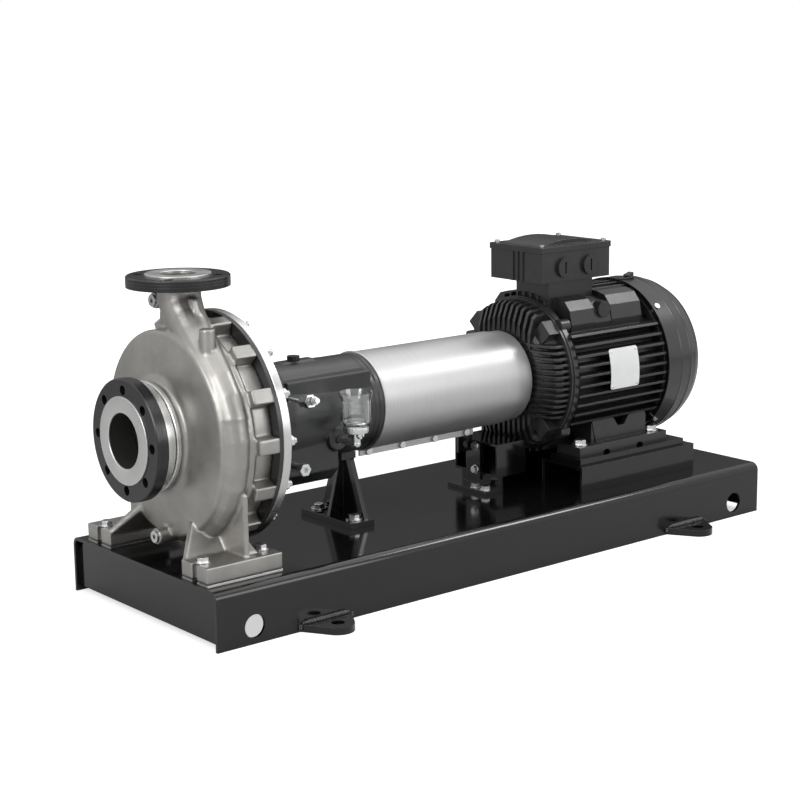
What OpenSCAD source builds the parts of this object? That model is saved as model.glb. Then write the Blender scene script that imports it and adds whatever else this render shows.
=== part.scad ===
// Horizontal end-suction centrifugal pump set on a folded steel base.
// +X runs along the shaft from the suction flange to the motor, +Z is up.
// The origin is the centre of the anchor bolt pattern, on the floor.

/* [Base] */
// Length of the folded base
base_l = 1400; // [1380:10:1600]
// Width over the side flanges
base_w = 480; // [460:10:560]
// Height of the base
base_h = 106; // [90:1:140]
// Sheet thickness of the base
base_t = 6; // [4:0.5:8]
// Outer radius of the two long bends
base_bend_r = 16; // [12:1:22]
// Gap of the butt welds between the top sheet's bends and the side plates
base_seam = 0.1; // [0.05:0.05:0.3]
// Height of the gap under the end plates
end_plate_lift = 10; // [4:1:20]
// How far the end plates sit inside the profile
end_plate_inset = 8; // [4:1:20]
// Diameter of the lifting holes in the side flanges
side_hole_d = 42; // [30:1:46]
// Distance of the lifting holes from the base's ends
side_hole_inset = 78; // [60:1:110]
// Height of the lifting holes above the floor
side_hole_z = 32; // [30:1:50]

/* [Anchor lugs] */
// Distance of the anchor bolts from the base's ends
anchor_inset = 230; // [200:5:260]
// Distance of the anchor holes outside the sides of the base
anchor_reach = 35; // [30:1:60]
// Diameter of the anchor bolt holes
anchor_hole_d = 24; // [18:1:28]
// Radius of a lug's rounded tip
lug_tip_r = 30; // [26:1:32]
// Half the width of a lug at the base's side
lug_root_w = 56; // [46:1:64]
// Thickness of the lugs
lug_t = 14; // [10:1:18]

/* [Pump place] */
// Place of the discharge centreline from the middle of the base
pump_x = -600; // [-605:1:-590]
// Shaft height over the pump's feet
pump_h1 = 225; // [223:1:240]
// Discharge flange face over the shaft
pump_h2 = 285; // [280:1:300]
// Suction flange face ahead of the discharge centreline
suction_a = 125; // [120:1:135]
// Thickness of the packing plates under the pump's feet
shim_t = 2; // [1:0.5:4]
// Running and seating clearance between parts
seat_gap = 0.2; // [0.1:0.05:0.3]

/* [Flanges] */
// Outer diameter of the suction flange
suction_flange_d = 220; // [216:1:240]
// Thickness of the suction flange
suction_flange_t = 22; // [18:1:24]
// Bolt circle of the suction flange
suction_pcd = 180; // [178:1:186]
// Number of bolt holes in the suction flange
suction_holes = 8; // [4:4:8]
// Suction bore
suction_bore_d = 100; // [80:1:104]
// Diameter of the suction raised face
suction_face_d = 158; // [140:1:159]
// Outer diameter of the discharge flange
discharge_flange_d = 185; // [180:1:200]
// Thickness of the discharge flange
discharge_flange_t = 20; // [16:1:22]
// Bolt circle of the discharge flange
discharge_pcd = 145; // [142:1:150]
// Number of bolt holes in the discharge flange
discharge_holes = 4; // [4:4:8]
// Discharge bore
discharge_bore_d = 65; // [55:1:68]
// Diameter of the discharge raised face
discharge_face_d = 118; // [104:1:122]
// Diameter of the flange bolt holes
flange_hole_d = 18; // [14:1:20]
// Height that the raised faces stand over the loose flanges
raised_h = 3; // [2:0.5:4]

/* [Volute casing] */
// Centre plane of the volute ahead of the discharge centreline
volute_lead = 12; // [8:1:14]
// Radius of the volute's centreline at the cutwater
volute_r0 = 160; // [156:1:163]
// Radius of the volute's centreline at the throat
volute_r1 = 169; // [165:1:172]
// Outer half height of the volute at the cutwater
volute_b0 = 24; // [22:1:28]
// Outer half height of the volute at the throat
volute_b1 = 41; // [38:1:43]
// Outer half width of the volute at the cutwater
volute_a0 = 22; // [20:1:24]
// Outer half width of the volute at the throat
volute_a1 = 28; // [25:1:29]
// Wall of the volute and the neck
volute_wall = 7; // [6:0.5:8]
// Angle of the throat above the shaft, on the near side
throat_angle = 16; // [10:1:22]
// Angle that the spiral turns through
spiral_turn = 320; // [300:5:325]
// Radius of the casing's front disc
disc_r = 187; // [185:1:189]
// Radius of the casing's barrel behind the volute
barrel_r = 190; // [188:1:194]
// Bore of the casing for the cover's spigot
barrel_bore_r = 172; // [170:1:174]
// Radius of the impeller chamber
chamber_r = 163; // [162:1:166]
// Number of lugs and studs that hold the cover
stud_count = 15; // [12:1:15]
// Radius over the stud lugs
lug_r = 214; // [212:1:218]
// Width of one stud lug
stud_lug_w = 27; // [24:1:32]
// Radius of the stud circle
stud_circle_r = 198; // [196:1:200]
// Diameter of the cover studs
stud_d = 12; // [10:1:12]

/* [Casing feet] */
// Front end of the feet ahead of the discharge centreline
foot_front = 90; // [84:1:94]
// Length of the feet along the shaft
foot_l = 158; // [150:1:166]
// Width over both feet
foot_span = 400; // [390:5:420]
// Width of one foot
foot_w = 80; // [72:1:88]
// Thickness of the feet
foot_t = 30; // [24:1:34]
// Distance between a foot's bolts along the shaft
foot_pitch = 122; // [116:1:126]
// Diameter of the feet's bolts
foot_bolt_d = 12; // [10:1:14]
// Thickness of the feet's ribs
foot_rib_t = 9; // [7:1:12]

/* [Pump rotor] */
// Outer radius of the impeller
impeller_r = 155; // [150:1:158]
// Width of the impeller's outlet
impeller_b2 = 12; // [8:1:14]
// Thickness of the impeller's shrouds
shroud_t = 4; // [3:0.5:5]
// Outer radius of the impeller's eye ring
eye_r = 61; // [58:1:62]
// Number of impeller vanes
vane_count = 6; // [5:1:7]
// Radius of the pump shaft in the impeller
shaft_r_impeller = 16; // [14:1:17]
// Radius of the pump shaft in its bearings
shaft_r_bearing = 25; // [24:1:26]
// Radius of both coupling shaft ends
shaft_end_r = 21; // [19:1:22]
// Length of the pump's shaft end
pump_shaft_end = 110; // [104:1:114]
// Pump shaft end behind the discharge centreline
pump_shaft_f = 514; // [508:1:520]

/* [Bearing bracket] */
// Radius of the adapter ring and the cover's flange
adapter_r = 212; // [210:1:216]
// Thickness of the adapter ring
adapter_t = 18; // [14:1:20]
// Thickness of the casing cover's flange
cover_flange_t = 8; // [6:1:10]
// Radius of the bracket's front flange
bracket_flange_r = 154; // [152:1:160]
// Radius of the bearing housing's round top
housing_r = 96; // [90:1:100]
// Wall of the bearing housing
housing_wall = 10; // [8:1:12]
// Half width of the oil sump
sump_half_w = 84; // [78:1:88]
// Depth of the oil sump under the shaft
sump_depth = 124; // [118:1:132]
// Front end of the bearing housing behind the discharge centreline
housing_front = 170; // [164:1:176]
// Rear face of the bearing housing behind the discharge centreline
housing_rear = 368; // [364:1:376]
// Outer radius of the pump's bearings
bearing_r = 55; // [53:1:57]
// Width of one pump bearing
bearing_w = 27; // [24:1:29]
// Support foot's bolts behind the discharge centreline
support_x = 340; // [336:1:344]
// Distance between the support foot's bolts
support_span = 110; // [104:1:120]

/* [Oiler] */
// Place of the oiler behind the discharge centreline
oiler_x = 277; // [270:1:284]
// Distance of the oiler's centre from the shaft, sideways
oiler_y = 147; // [142:1:160]
// Height of the oiler's seat under the shaft
oiler_drop = 20; // [16:1:26]
// Radius of the oiler's bottle
bottle_r = 30; // [28:1:32]
// Height of the oiler's bottle
bottle_h = 72; // [64:1:76]

/* [Coupling and guard] */
// Distance between the two shaft ends
shaft_gap = 140; // [136:1:144]
// Radius of the coupling's flanges
coupling_r = 62; // [58:1:70]
// Length of a coupling hub
hub_l = 60; // [54:1:66]
// Thickness of a coupling's disc pack
pack_t = 8; // [6:1:10]
// Number of bolts in each coupling flange
coupling_bolts_n = 6; // [6:1:8]
// Outer radius of the coupling guard
guard_r = 95; // [93:1:97]
// Sheet thickness of the coupling guard
guard_t = 2; // [1.5:0.5:3]
// Rear end of the guard's front sheet behind the discharge centreline
guard_split = 735; // [700:5:745]
// Gap between the guard and the motor's shield
guard_end_gap = 3; // [2:0.5:5]

/* [Motor] */
// Shaft height of the motor over its feet
motor_h = 160; // [158:1:165]
// Distance between the motor's foot bolts along the shaft
motor_b = 210; // [200:1:214]
// Distance between the motor's foot bolts across it
motor_a = 254; // [248:1:258]
// Motor's shaft shoulder to its first foot bolt
motor_c = 108; // [104:1:112]
// Length of the motor's shaft end
motor_e = 110; // [106:1:114]
// Diameter of the motor's foot bolts
motor_bolt_d = 14; // [12:1:14]
// Radius over the frame's fins
fin_r = 167; // [160:1:172]
// Radius of the frame's barrel
motor_barrel_r = 138; // [134:1:142]
// Bore of the frame
motor_bore_r = 124; // [121:1:127]
// Distance between fins
fin_pitch = 20; // [16:1:26]
// Thickness of a fin
fin_t = 5; // [4:0.5:7]
// Length of the finned frame
frame_l = 262; // [256:1:266]
// Length of the drive end shield
shield_l = 52; // [48:1:56]
// Radius of the fan cover
cowl_r = 172; // [170:1:176]
// Length of the fan cover
cowl_l = 118; // [112:1:124]
// Sheet thickness of the fan cover
cowl_t = 2.5; // [2:0.5:4]
// Length of the rotor and stator packs
stack_l = 170; // [150:1:180]
// Bore radius of the stator
stator_bore_r = 80; // [76:1:84]
// Air gap between rotor and stator
air_gap = 0.6; // [0.4:0.1:1]
// Length of the terminal box along the shaft
box_l = 192; // [184:1:200]
// Width of the terminal box
box_w = 150; // [144:1:160]
// Height of the terminal box's body
box_h = 60; // [54:1:70]
// Wall of the terminal box
box_wall = 5; // [4:0.5:7]

/* [Motor supports] */
// Height of the two rails under the motor
rail_h = 54; // [46:1:58]
// Width of one rail
rail_w = 116; // [108:1:122]
// Outer width over both rails
rail_span = 352; // [344:1:360]
// Sheet thickness of the rails
rail_t = 6; // [4:0.5:8]
// Length of the rails
rail_l = 334; // [320:1:344]
// Wall of the two tubes in the guard's stand
stand_t = 4; // [3:0.5:6]

/* [Hidden] */
$fn = 96;
e = 0.5;

// Heights
pump_foot_z = base_h + shim_t;
shaft_z = pump_foot_z + pump_h1;
anchor_span = base_w + 2 * anchor_reach;
foot_bolt_span = foot_span - foot_w;
pad_t = shaft_z - motor_h - base_h - rail_h;
motor_foot_z = shaft_z - motor_h;
discharge_z = shaft_z + pump_h2;

// Stations along the shaft
suction_x = pump_x - suction_a;
volute_x = pump_x - volute_lead;
disc_x = volute_x - 30;
chamber_rear = volute_x + 26;
barrel_rear = volute_x + 72;
adapter_x = barrel_rear + cover_flange_t;
bracket_x = adapter_x + adapter_t;
housing_x0 = pump_x + housing_front;
housing_x1 = pump_x + housing_rear;
pump_end_x = pump_x + pump_shaft_f;
motor_end_x = pump_end_x + shaft_gap;
shoulder_x = motor_end_x + motor_e;
motor_foot_x0 = shoulder_x + motor_c;
motor_foot_x1 = motor_foot_x0 + motor_b;
shield_x = shoulder_x + 9;
frame_x0 = shield_x + shield_l;
frame_x1 = frame_x0 + frame_l;
cowl_x0 = frame_x1 + 2;
cowl_x1 = cowl_x0 + cowl_l;
guard_x0 = housing_x1 + 20;
guard_x1 = shield_x - guard_end_gap;
guard_split_x = pump_x + guard_split;
wear_x0 = volute_x - 56;
wear_x1 = volute_x - 40;
wear_seat_r = eye_r + 11;
hub_back_x = volute_x + 26;
seal_x1 = bracket_x + 14;
support_leg_x = pump_x + support_x + 20;
foot_x0 = pump_x - foot_front;
foot_mid = foot_x0 + foot_l / 2;
foot_bolt_x = [foot_mid - foot_pitch / 2, foot_mid + foot_pitch / 2];
foot_y1 = foot_span / 2;
foot_y0 = foot_y1 - foot_w;

// A body of revolution round the shaft: points are [radius, x]
module turned(points) {
  translate([0, 0, shaft_z]) rotate([0, 90, 0]) rotate_extrude() polygon(points);
}

// A straight round bar or bore along the shaft, from x0 to x1
module round_x(r, x0, x1) {
  translate([x0, 0, shaft_z]) rotate([0, 90, 0]) cylinder(r = r, h = x1 - x0);
}

// A flat ring round the shaft
module ring_x(ro, ri, x0, x1) {
  difference() {
    round_x(ro, x0, x1);
    round_x(ri, x0 - e, x1 + e);
  }
}

// Children repeated round the shaft, first one on the near side
module round_shaft(count, first = 0) {
  for (i = [0 : count - 1])
    translate([0, 0, shaft_z]) rotate([-first - 360 * i / count, 0, 0]) children();
}

// A hexagon prism along Z, measured across its flats
module hex(af, h) {
  cylinder(d = af / cos(30), h = h, $fn = 6);
}

// A hexagon bolt along -Z: its head stands on z = 0
module hex_bolt(d, length, washer = true) {
  if (washer) cylinder(r = 1.15 * d, h = 0.2 * d);
  translate([0, 0, washer ? 0.2 * d : 0]) hex(1.55 * d, 0.65 * d);
  translate([0, 0, -length]) cylinder(d = d, h = length + 0.3 * d);
}

// A box given by its two far corners
module block(a, b) {
  translate(a) cube(b - a);
}

// The same piece on both sides of the shaft
module both_sides() {
  children();
  mirror([0, 1, 0]) children();
}

// Points on an arc in the plane
function arc(c, r, a0, a1, n) = [for (i = [0 : n]) let (a = a0 + (a1 - a0) * i / n) c + r * [cos(a), sin(a)]];

// A long bar along X with its two upper edges rounded
module bent_bar(x0, x1, half_w, z0, z1, r) {
  block([x0, -half_w, z0], [x1, half_w, z1 - r]);
  block([x0, -half_w + r, z1 - r - e], [x1, half_w - r, z1]);
  both_sides()
    translate([x0, half_w - r, z1 - r]) rotate([0, 90, 0]) cylinder(r = r, h = x1 - x0);
}

// Base: an inverted tray, a top sheet folded over at both edges with a side plate butt-welded under each bend
module base_frame() {
  color("#17181a") difference() {
    bent_bar(-base_l / 2, base_l / 2, base_w / 2, 0, base_h, base_bend_r);
    bent_bar(-base_l / 2 - 1, base_l / 2 + 1, base_w / 2 - base_t, -1, base_h - base_t, base_bend_r - base_t);
    block([-base_l / 2 - 1, -base_w / 2 - 1, base_h - base_bend_r - base_seam],
      [base_l / 2 + 1, base_w / 2 + 1, base_h - base_bend_r]);
    for (x = [-1, 1] * (base_l / 2 - side_hole_inset))
      translate([x, -base_w / 2 - 1, side_hole_z]) rotate([-90, 0, 0]) cylinder(d = side_hole_d, h = base_w + 2);
    both_sides() for (x = foot_bolt_x)
      translate([x, foot_bolt_span / 2, base_h - 2 * base_t]) cylinder(d = foot_bolt_d + 1, h = 3 * base_t);
    for (y = [-1, 1] * support_span / 2)
      translate([pump_x + support_x, y, base_h - 2 * base_t]) cylinder(d = foot_bolt_d + 1, h = 3 * base_t);
  }
}

// End plates: recessed, with their corners cut clear of the bends
module base_end_plates() {
  w = base_w / 2 - base_t;
  cut = base_bend_r + 6;
  top = base_h - base_t;
  color("#17181a") for (x = [-base_l / 2 + end_plate_inset, base_l / 2 - end_plate_inset - base_t])
    translate([x, 0, 0]) rotate([90, 0, 90]) linear_extrude(base_t)
      polygon([[-w, end_plate_lift], [w, end_plate_lift], [w, top - cut], [w - cut, top], [cut - w, top], [-w, top - cut]]);
}

// Anchor lugs: four tongues welded to the foot of the side flanges
module anchor_lugs() {
  side = base_w / 2;
  tip = anchor_span / 2 - side;
  spread = asin((lug_root_w - lug_tip_r) / norm([tip, lug_root_w - lug_tip_r]));
  outline = concat([[-lug_root_w, 0]], arc([0, tip], lug_tip_r, 180 - spread, spread, 14), [[lug_root_w, 0]]);
  color("#17181a") for (x = [-1, 1] * (base_l / 2 - anchor_inset))
    both_sides() translate([x, side, 0]) difference() {
      linear_extrude(lug_t) polygon(outline);
      translate([0, tip, -1]) cylinder(d = anchor_hole_d, h = lug_t + 2);
    }
}

// Packing plates under the pump's feet
module pump_shims() {
  color("#8f9294") difference() {
    both_sides() block([foot_x0, foot_y0, base_h], [foot_x0 + foot_l, foot_y1, pump_foot_z]);
    foot_slots(base_h - 1, pump_foot_z + 1);
  }
}

// Two folded rails that carry the motor, open below and at the ends
rail_x0 = motor_foot_x0 - 42;
module motor_rails() {
  y1 = rail_span / 2;
  y0 = y1 - rail_w;
  color("#1b1c1e") both_sides() difference() {
    block([rail_x0, y0, base_h], [rail_x0 + rail_l, y1, base_h + rail_h]);
    block([rail_x0 - 1, y0 + rail_t, base_h - 1], [rail_x0 + rail_l + 1, y1 - rail_t, base_h + rail_h - rail_t]);
    for (x = [motor_foot_x0, motor_foot_x1])
      translate([x, motor_a / 2, base_h + rail_h - 2 * rail_t]) cylinder(d = motor_bolt_d + 1, h = 3 * rail_t);
  }
}

// Machined pads between the rails and the motor's feet
module motor_pads() {
  y1 = rail_span / 2 - 10;
  color("#222426") both_sides() difference() {
    block([rail_x0 + 6, y1 - rail_w + 30, base_h + rail_h], [rail_x0 + rail_l - 22, y1, motor_foot_z]);
    for (x = [motor_foot_x0, motor_foot_x1])
      translate([x, motor_a / 2, base_h + rail_h - 1]) cylinder(d = motor_bolt_d + 1, h = pad_t + 2);
  }
}

// Stand of the coupling guard: two open tubes on a foot, with a plate and a cleat in front
stand_x = rail_x0 - 130;
stand_half_w = 64;
stand_l = 78;
stand_z0 = base_h + 34;
stand_z1 = base_h + 102;
strip_half_w = 21;
guard_edge_z = shaft_z - guard_r - 15;
guard_bolt_x = [for (i = [0 : 3]) guard_x0 + 30 + 84 * i];
module guard_stand() {
  tube_w = stand_half_w - strip_half_w + 7;
  color("#1b1c1e") difference() {
    union() {
      block([stand_x, -stand_half_w, stand_z0], [stand_x + stand_l, stand_half_w, stand_z1]);
      block([stand_x + 14, -stand_half_w + 6, base_h + 7], [stand_x + 22, stand_half_w - 6, stand_z0 + e]);
      block([stand_x - 26, -stand_half_w + 6, base_h], [stand_x + 22, stand_half_w - 6, base_h + 8]);
      block([stand_x - 8, -strip_half_w, base_h + 24], [stand_x + e, strip_half_w, stand_z1 + 2]);
      block([guard_bolt_x[3] - 14, 3.2, stand_z1 - 20], [stand_x - 7, 9.2, guard_edge_z + 13]);
      for (z = [stand_z0 + 10, stand_z1 - 9])
        translate([stand_x - 8, -8, z]) rotate([0, -90, 0]) hex(13, 7);
      for (y = [-42, -12]) translate([stand_x - 12, y, base_h + 8]) hex(16, 8);
    }
    for (y = [-stand_half_w + stand_t, stand_half_w - stand_t - tube_w])
      block([stand_x + 1, y, stand_z0 + stand_t], [stand_x + stand_l + 1, y + tube_w, stand_z1 - stand_t]);
    for (y = [-stand_half_w + stand_t, strip_half_w + 1])
      block([stand_x - 1, y, stand_z0 + stand_t], [stand_x + 2, y + tube_w - 11, stand_z1 - stand_t]);
    translate([guard_bolt_x[3], 0, guard_edge_z + 7]) rotate([-90, 0, 0]) cylinder(d = 8.4, h = 12);
  }
}

// One section of the volute: half width a along the shaft, half height b along u
function section(c, a, b, u, n) = [for (i = [0 : n - 1]) let (q = 360 * i / n) c + a * cos(q) * [1, 0, 0] + b * sin(q) * u];

// Radial direction at an angle that turns with the flow, from the near side upward
function outward(angle) = [0, -cos(angle), sin(angle)];

// Sections of the spiral from the cutwater to the throat, t from 0 to 1
function spiral_angle(t) = 360 + throat_angle - spiral_turn * (1 - t);
function spiral_centre(t) = [volute_x, 0, shaft_z] + (volute_r0 + (volute_r1 - volute_r0) * t) * outward(spiral_angle(t));
function spiral_section(t, wall, n) = section(
  spiral_centre(t), volute_a0 + (volute_a1 - volute_a0) * t - wall, volute_b0 + (volute_b1 - volute_b0) * t - wall,
  outward(spiral_angle(t)), n);

// The neck bends from the throat to the centred discharge flange
neck_r = discharge_bore_d / 2 + volute_wall - 0.4;
neck_reach = 92;
neck_to = [pump_x, 0, discharge_z - 27];
neck_dir = [0, sin(throat_angle), cos(throat_angle)];
neck_step = 0.4;
neck_from = spiral_centre(1) - 3 * neck_dir;
neck_p1 = neck_from + neck_reach * neck_dir;
neck_p2 = neck_to - [0, 0, neck_reach * 0.8];
function neck_centre(t) = pow(1 - t, 3) * neck_from + 3 * t * pow(1 - t, 2) * neck_p1
  + 3 * t * t * (1 - t) * neck_p2 + pow(t, 3) * neck_to;
function neck_way(t) = 3 * pow(1 - t, 2) * (neck_p1 - neck_from) + 6 * t * (1 - t) * (neck_p2 - neck_p1)
  + 3 * t * t * (neck_to - neck_p2);
function neck_normal(t) = let (w = neck_way(t), s = norm([w[1], w[2]])) [0, -w[2], w[1]] / s;
function neck_section(t, wall, n) = section(
  neck_centre(t), volute_a1 + neck_step + (neck_r - volute_a1) * t - wall,
  volute_b1 + neck_step + (neck_r - volute_b1) * t - wall,
  neck_normal(t), n);

// A closed skin over a row of sections
module loft(rings) {
  n = len(rings[0]);
  m = len(rings);
  polyhedron(
    points = [for (ring = rings) each ring],
    faces = concat(
      [[for (i = [n - 1 : -1 : 0]) i]],
      [for (k = [0 : m - 2], i = [0 : n - 1]) let (a = k * n + i, b = k * n + (i + 1) % n) each [[a, b, b + n], [a, b + n, a + n]]],
      [[for (i = [0 : n - 1]) (m - 1) * n + i]]));
}

spiral_steps = 26;
neck_steps = 8;
module volute_tube(wall, n, stretch) {
  loft([for (k = [0 : spiral_steps]) spiral_section(k / spiral_steps, wall, n)]);
  loft([for (k = [0 : neck_steps]) neck_section(k / neck_steps * stretch, wall, n)]);
}

// Ribs that join a casing foot to the disc and the volute
module foot_ribs() {
  top = pump_foot_z + foot_t - e;
  hull() {
    block([foot_x0 + 2, foot_y0, top - 6], [pump_x + 36, foot_y0 + foot_rib_t + 2, top]);
    block([disc_x - 1, 76, shaft_z - 152], [pump_x + 10, 76 + foot_rib_t + 2, shaft_z - 139]);
  }
  translate([pump_x - 4, 0, 0]) rotate([90, 0, 90]) linear_extrude(foot_rib_t)
    polygon([[foot_y0, top], [foot_y1 - 10, top], [foot_y1 - 10, shaft_z - 84], [170, shaft_z - 70], [100, shaft_z - 130]]);
  translate([0, 176, 0]) rotate([90, 0, 0]) linear_extrude(foot_rib_t)
    polygon([[pump_x, top], [pump_x + 34, top], [pump_x, top + 44]]);
}

module casing_foot() {
  block([foot_x0, foot_y0, pump_foot_z], [foot_x0 + foot_l, foot_y1, pump_foot_z + foot_t]);
  foot_ribs();
}

// Open-ended slots under the feet's bolts
module foot_slots(z0, z1) {
  slot_w = foot_bolt_d + 3;
  both_sides() {
    block([foot_x0 - 1, foot_bolt_span / 2 - slot_w / 2, z0], [foot_bolt_x[0], foot_bolt_span / 2 + slot_w / 2, z1]);
    for (x = foot_bolt_x)
      translate([x, foot_bolt_span / 2, z0]) cylinder(d = slot_w, h = z1 - z0);
  }
}

// Volute casing: disc, barrel, spiral, neck, stud lugs and feet in one casting
collar_r = 96;
nozzle_r = suction_bore_d / 2 + 10;
plug_boss_r = 15;
drain_z = shaft_z - 184;
module volute_casing() {
  color("#9b9993") difference() {
    union() {
      turned([
        [0, suction_x], [suction_face_d / 2, suction_x], [suction_face_d / 2, suction_x + 10],
        [nozzle_r, suction_x + 10], [nozzle_r, suction_x + 25], [collar_r - 2, suction_x + 25],
        [collar_r, suction_x + 28], [collar_r, suction_x + 48], [collar_r + 3, suction_x + 50],
        [collar_r + 3, suction_x + 56], [collar_r - 1, suction_x + 62], [collar_r + 1, suction_x + 69],
        [collar_r + 12, disc_x - 9], [150, disc_x - 4], [disc_r - 4, disc_x],
        [disc_r, disc_x + 3], [disc_r, disc_x + 8], [disc_r - 5, disc_x + 11],
        [disc_r - 5, volute_x + 20], [barrel_r + 9, volute_x + 22], [barrel_r + 9, volute_x + 30],
        [barrel_r, volute_x + 34], [barrel_r, barrel_rear], [0, barrel_rear]]);
      volute_tube(0, 20, 1);
      translate([pump_x, 0, discharge_z - 33]) cylinder(r = neck_r + 0.8, h = 33);
      translate([pump_x, 0, discharge_z - 10]) cylinder(d = discharge_face_d, h = 10);
      round_shaft(stud_count)
        block([volute_x + 30, -lug_r, -stud_lug_w / 2], [barrel_rear, -barrel_r + 14, stud_lug_w / 2]);
      both_sides() casing_foot();
      translate([volute_x + 4, 0, 0]) rotate([90, 0, 90]) linear_extrude(12)
        polygon([[-88, shaft_z + 150], [62, shaft_z + 150], [52, shaft_z + 214], [30, discharge_z - 40], [-56, discharge_z - 40]]);
      translate([pump_x - 24, 46, discharge_z - 52]) rotate([0, 90, 0]) cylinder(r = plug_boss_r, h = 40);
      translate([volute_x - 4, -112, shaft_z + 150]) cylinder(r = 14, h = 50);
      translate([disc_x - 24, 0, drain_z]) rotate([0, 90, 0]) cylinder(r = plug_boss_r, h = 40);
    }
    turned([
      [0, suction_x - 1], [suction_bore_d / 2, suction_x - 1], [suction_bore_d / 2, wear_x0 - 2],
      [wear_seat_r, wear_x0 - 2], [wear_seat_r, wear_x1], [wear_seat_r, volute_x - 32],
      [chamber_r, volute_x - 20], [chamber_r, chamber_rear], [barrel_bore_r, chamber_rear],
      [barrel_bore_r, barrel_rear + 1], [0, barrel_rear + 1]]);
    volute_tube(volute_wall, 14, 0.9);
    translate([pump_x, 0, discharge_z - 42]) cylinder(d = discharge_bore_d, h = 43);
    round_shaft(stud_count)
      translate([barrel_rear - 24, -stud_circle_r, 0]) rotate([0, 90, 0]) cylinder(d = stud_d, h = 25);
    foot_slots(pump_foot_z - 1, pump_foot_z + foot_t + 1);
    translate([pump_x - 25, 46, discharge_z - 52]) rotate([0, 90, 0]) cylinder(d = plug_boss_r, h = 13);
    translate([disc_x - 25, 0, drain_z]) rotate([0, 90, 0]) cylinder(d = plug_boss_r, h = 13);
  }
}

// Threaded sealing plugs with a hexagon socket, in the casing's two bosses
module socket_plug(x, y, z) {
  translate([x, y, z]) rotate([0, 90, 0]) difference() {
    union() {
      cylinder(d = plug_boss_r + 7, h = 4);
      cylinder(d = plug_boss_r, h = 15);
    }
    translate([0, 0, -1]) hex(8, 9);
  }
}
module casing_plugs() {
  color("#b9babb") {
    socket_plug(pump_x - 28, 46, discharge_z - 52);
    socket_plug(disc_x - 28, 0, drain_z);
  }
}

// Loose flange ring behind a lapped raised face, along +Z, its front face on z = 0, turned by a share of the hole pitch
module loose_flange(d, t, pcd, count, face_d, bore_r, turn) {
  lap = 10 - raised_h;
  difference() {
    union() {
      translate([0, 0, -t]) cylinder(d = d, h = t - 2);
      translate([0, 0, -2]) cylinder(d1 = d, d2 = d - 4, h = 2);
    }
    translate([0, 0, -lap - seat_gap]) cylinder(d = face_d + 1, h = lap + 1);
    translate([0, 0, -t - 1]) cylinder(r = bore_r, h = t + 2);
    for (i = [0 : count - 1])
      rotate([0, 0, 360 * (i + turn) / count]) translate([pcd / 2, 0, -t - 1]) cylinder(d = flange_hole_d, h = t + 2);
  }
}
module suction_flange() {
  color("#1d1e20") translate([suction_x + raised_h, 0, shaft_z]) rotate([0, -90, 0])
    loose_flange(suction_flange_d, suction_flange_t, suction_pcd, suction_holes, suction_face_d, nozzle_r + 0.5, 0);
}
module discharge_flange() {
  color("#1d1e20") translate([pump_x, 0, discharge_z - raised_h])
    loose_flange(discharge_flange_d, discharge_flange_t, discharge_pcd, discharge_holes, discharge_face_d, neck_r + 1, 0.5);
}

// Wear ring pressed into the casing in front of the impeller's eye
module casing_wear_ring() {
  color("#b08d57") ring_x(wear_seat_r, eye_r + 0.3, wear_x0 - 2, wear_x1);
}

// Casing cover: closes the chamber, centres in the barrel and holds the seal
cover_hub_r = 62;
seal_bore_r = 42;
module casing_cover() {
  color("#3a3b3d") difference() {
    turned([
      [0, chamber_rear + 1], [barrel_bore_r - seat_gap, chamber_rear + 1], [barrel_bore_r - seat_gap, barrel_rear],
      [adapter_r, barrel_rear], [adapter_r, adapter_x], [150, adapter_x], [140, barrel_rear - 18],
      [90, barrel_rear - 26], [cover_hub_r, barrel_rear - 20], [cover_hub_r, seal_x1 - 14], [0, seal_x1 - 14]]);
    turned([
      [0, chamber_rear], [30, chamber_rear], [30, chamber_rear + 10], [seal_bore_r, chamber_rear + 10],
      [seal_bore_r, seal_x1 - 13], [0, seal_x1 - 13]]);
    round_shaft(stud_count)
      translate([barrel_rear - 1, -stud_circle_r, 0]) rotate([0, 90, 0]) cylinder(d = stud_d + 1, h = cover_flange_t + 2);
  }
}

// Turned adapter ring between the cover and the bearing bracket
module adapter_ring() {
  color("#d8dadb") difference() {
    turned([
      [cover_hub_r + 44, adapter_x], [adapter_r - 1.5, adapter_x], [adapter_r, adapter_x + 1.5],
      [adapter_r, bracket_x - 1.5], [adapter_r - 1.5, bracket_x], [cover_hub_r + 44, bracket_x]]);
    round_shaft(stud_count)
      translate([adapter_x - 1, -stud_circle_r, 0]) rotate([0, 90, 0]) cylinder(d = stud_d + 1, h = adapter_t + 2);
    round_shaft(8, 22.5)
      translate([adapter_x - 1, -bracket_flange_r + 12, 0]) rotate([0, 90, 0]) cylinder(d = stud_d, h = adapter_t + 2);
  }
}

// Studs and nuts that clamp cover and adapter ring to the casing
module cover_studs() {
  color("#c6c8c9") round_shaft(stud_count) translate([0, -stud_circle_r, 0]) rotate([0, 90, 0]) {
    translate([0, 0, barrel_rear - 24]) cylinder(d = stud_d, h = bracket_x + 18 - barrel_rear + 24);
    translate([0, 0, bracket_x]) hex(1.5 * stud_d, 0.85 * stud_d);
  }
}

// Bolts of the pump's feet, through shims and base into nuts
module pump_foot_bolts() {
  color("#c6c8c9") both_sides() for (x = foot_bolt_x) translate([x, foot_bolt_span / 2, pump_foot_z + foot_t]) {
    hex_bolt(foot_bolt_d, foot_t + shim_t + base_t + 14);
    translate([0, 0, -foot_t - shim_t - base_t - 10]) hex(1.55 * foot_bolt_d, 10);
  }
}

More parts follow.
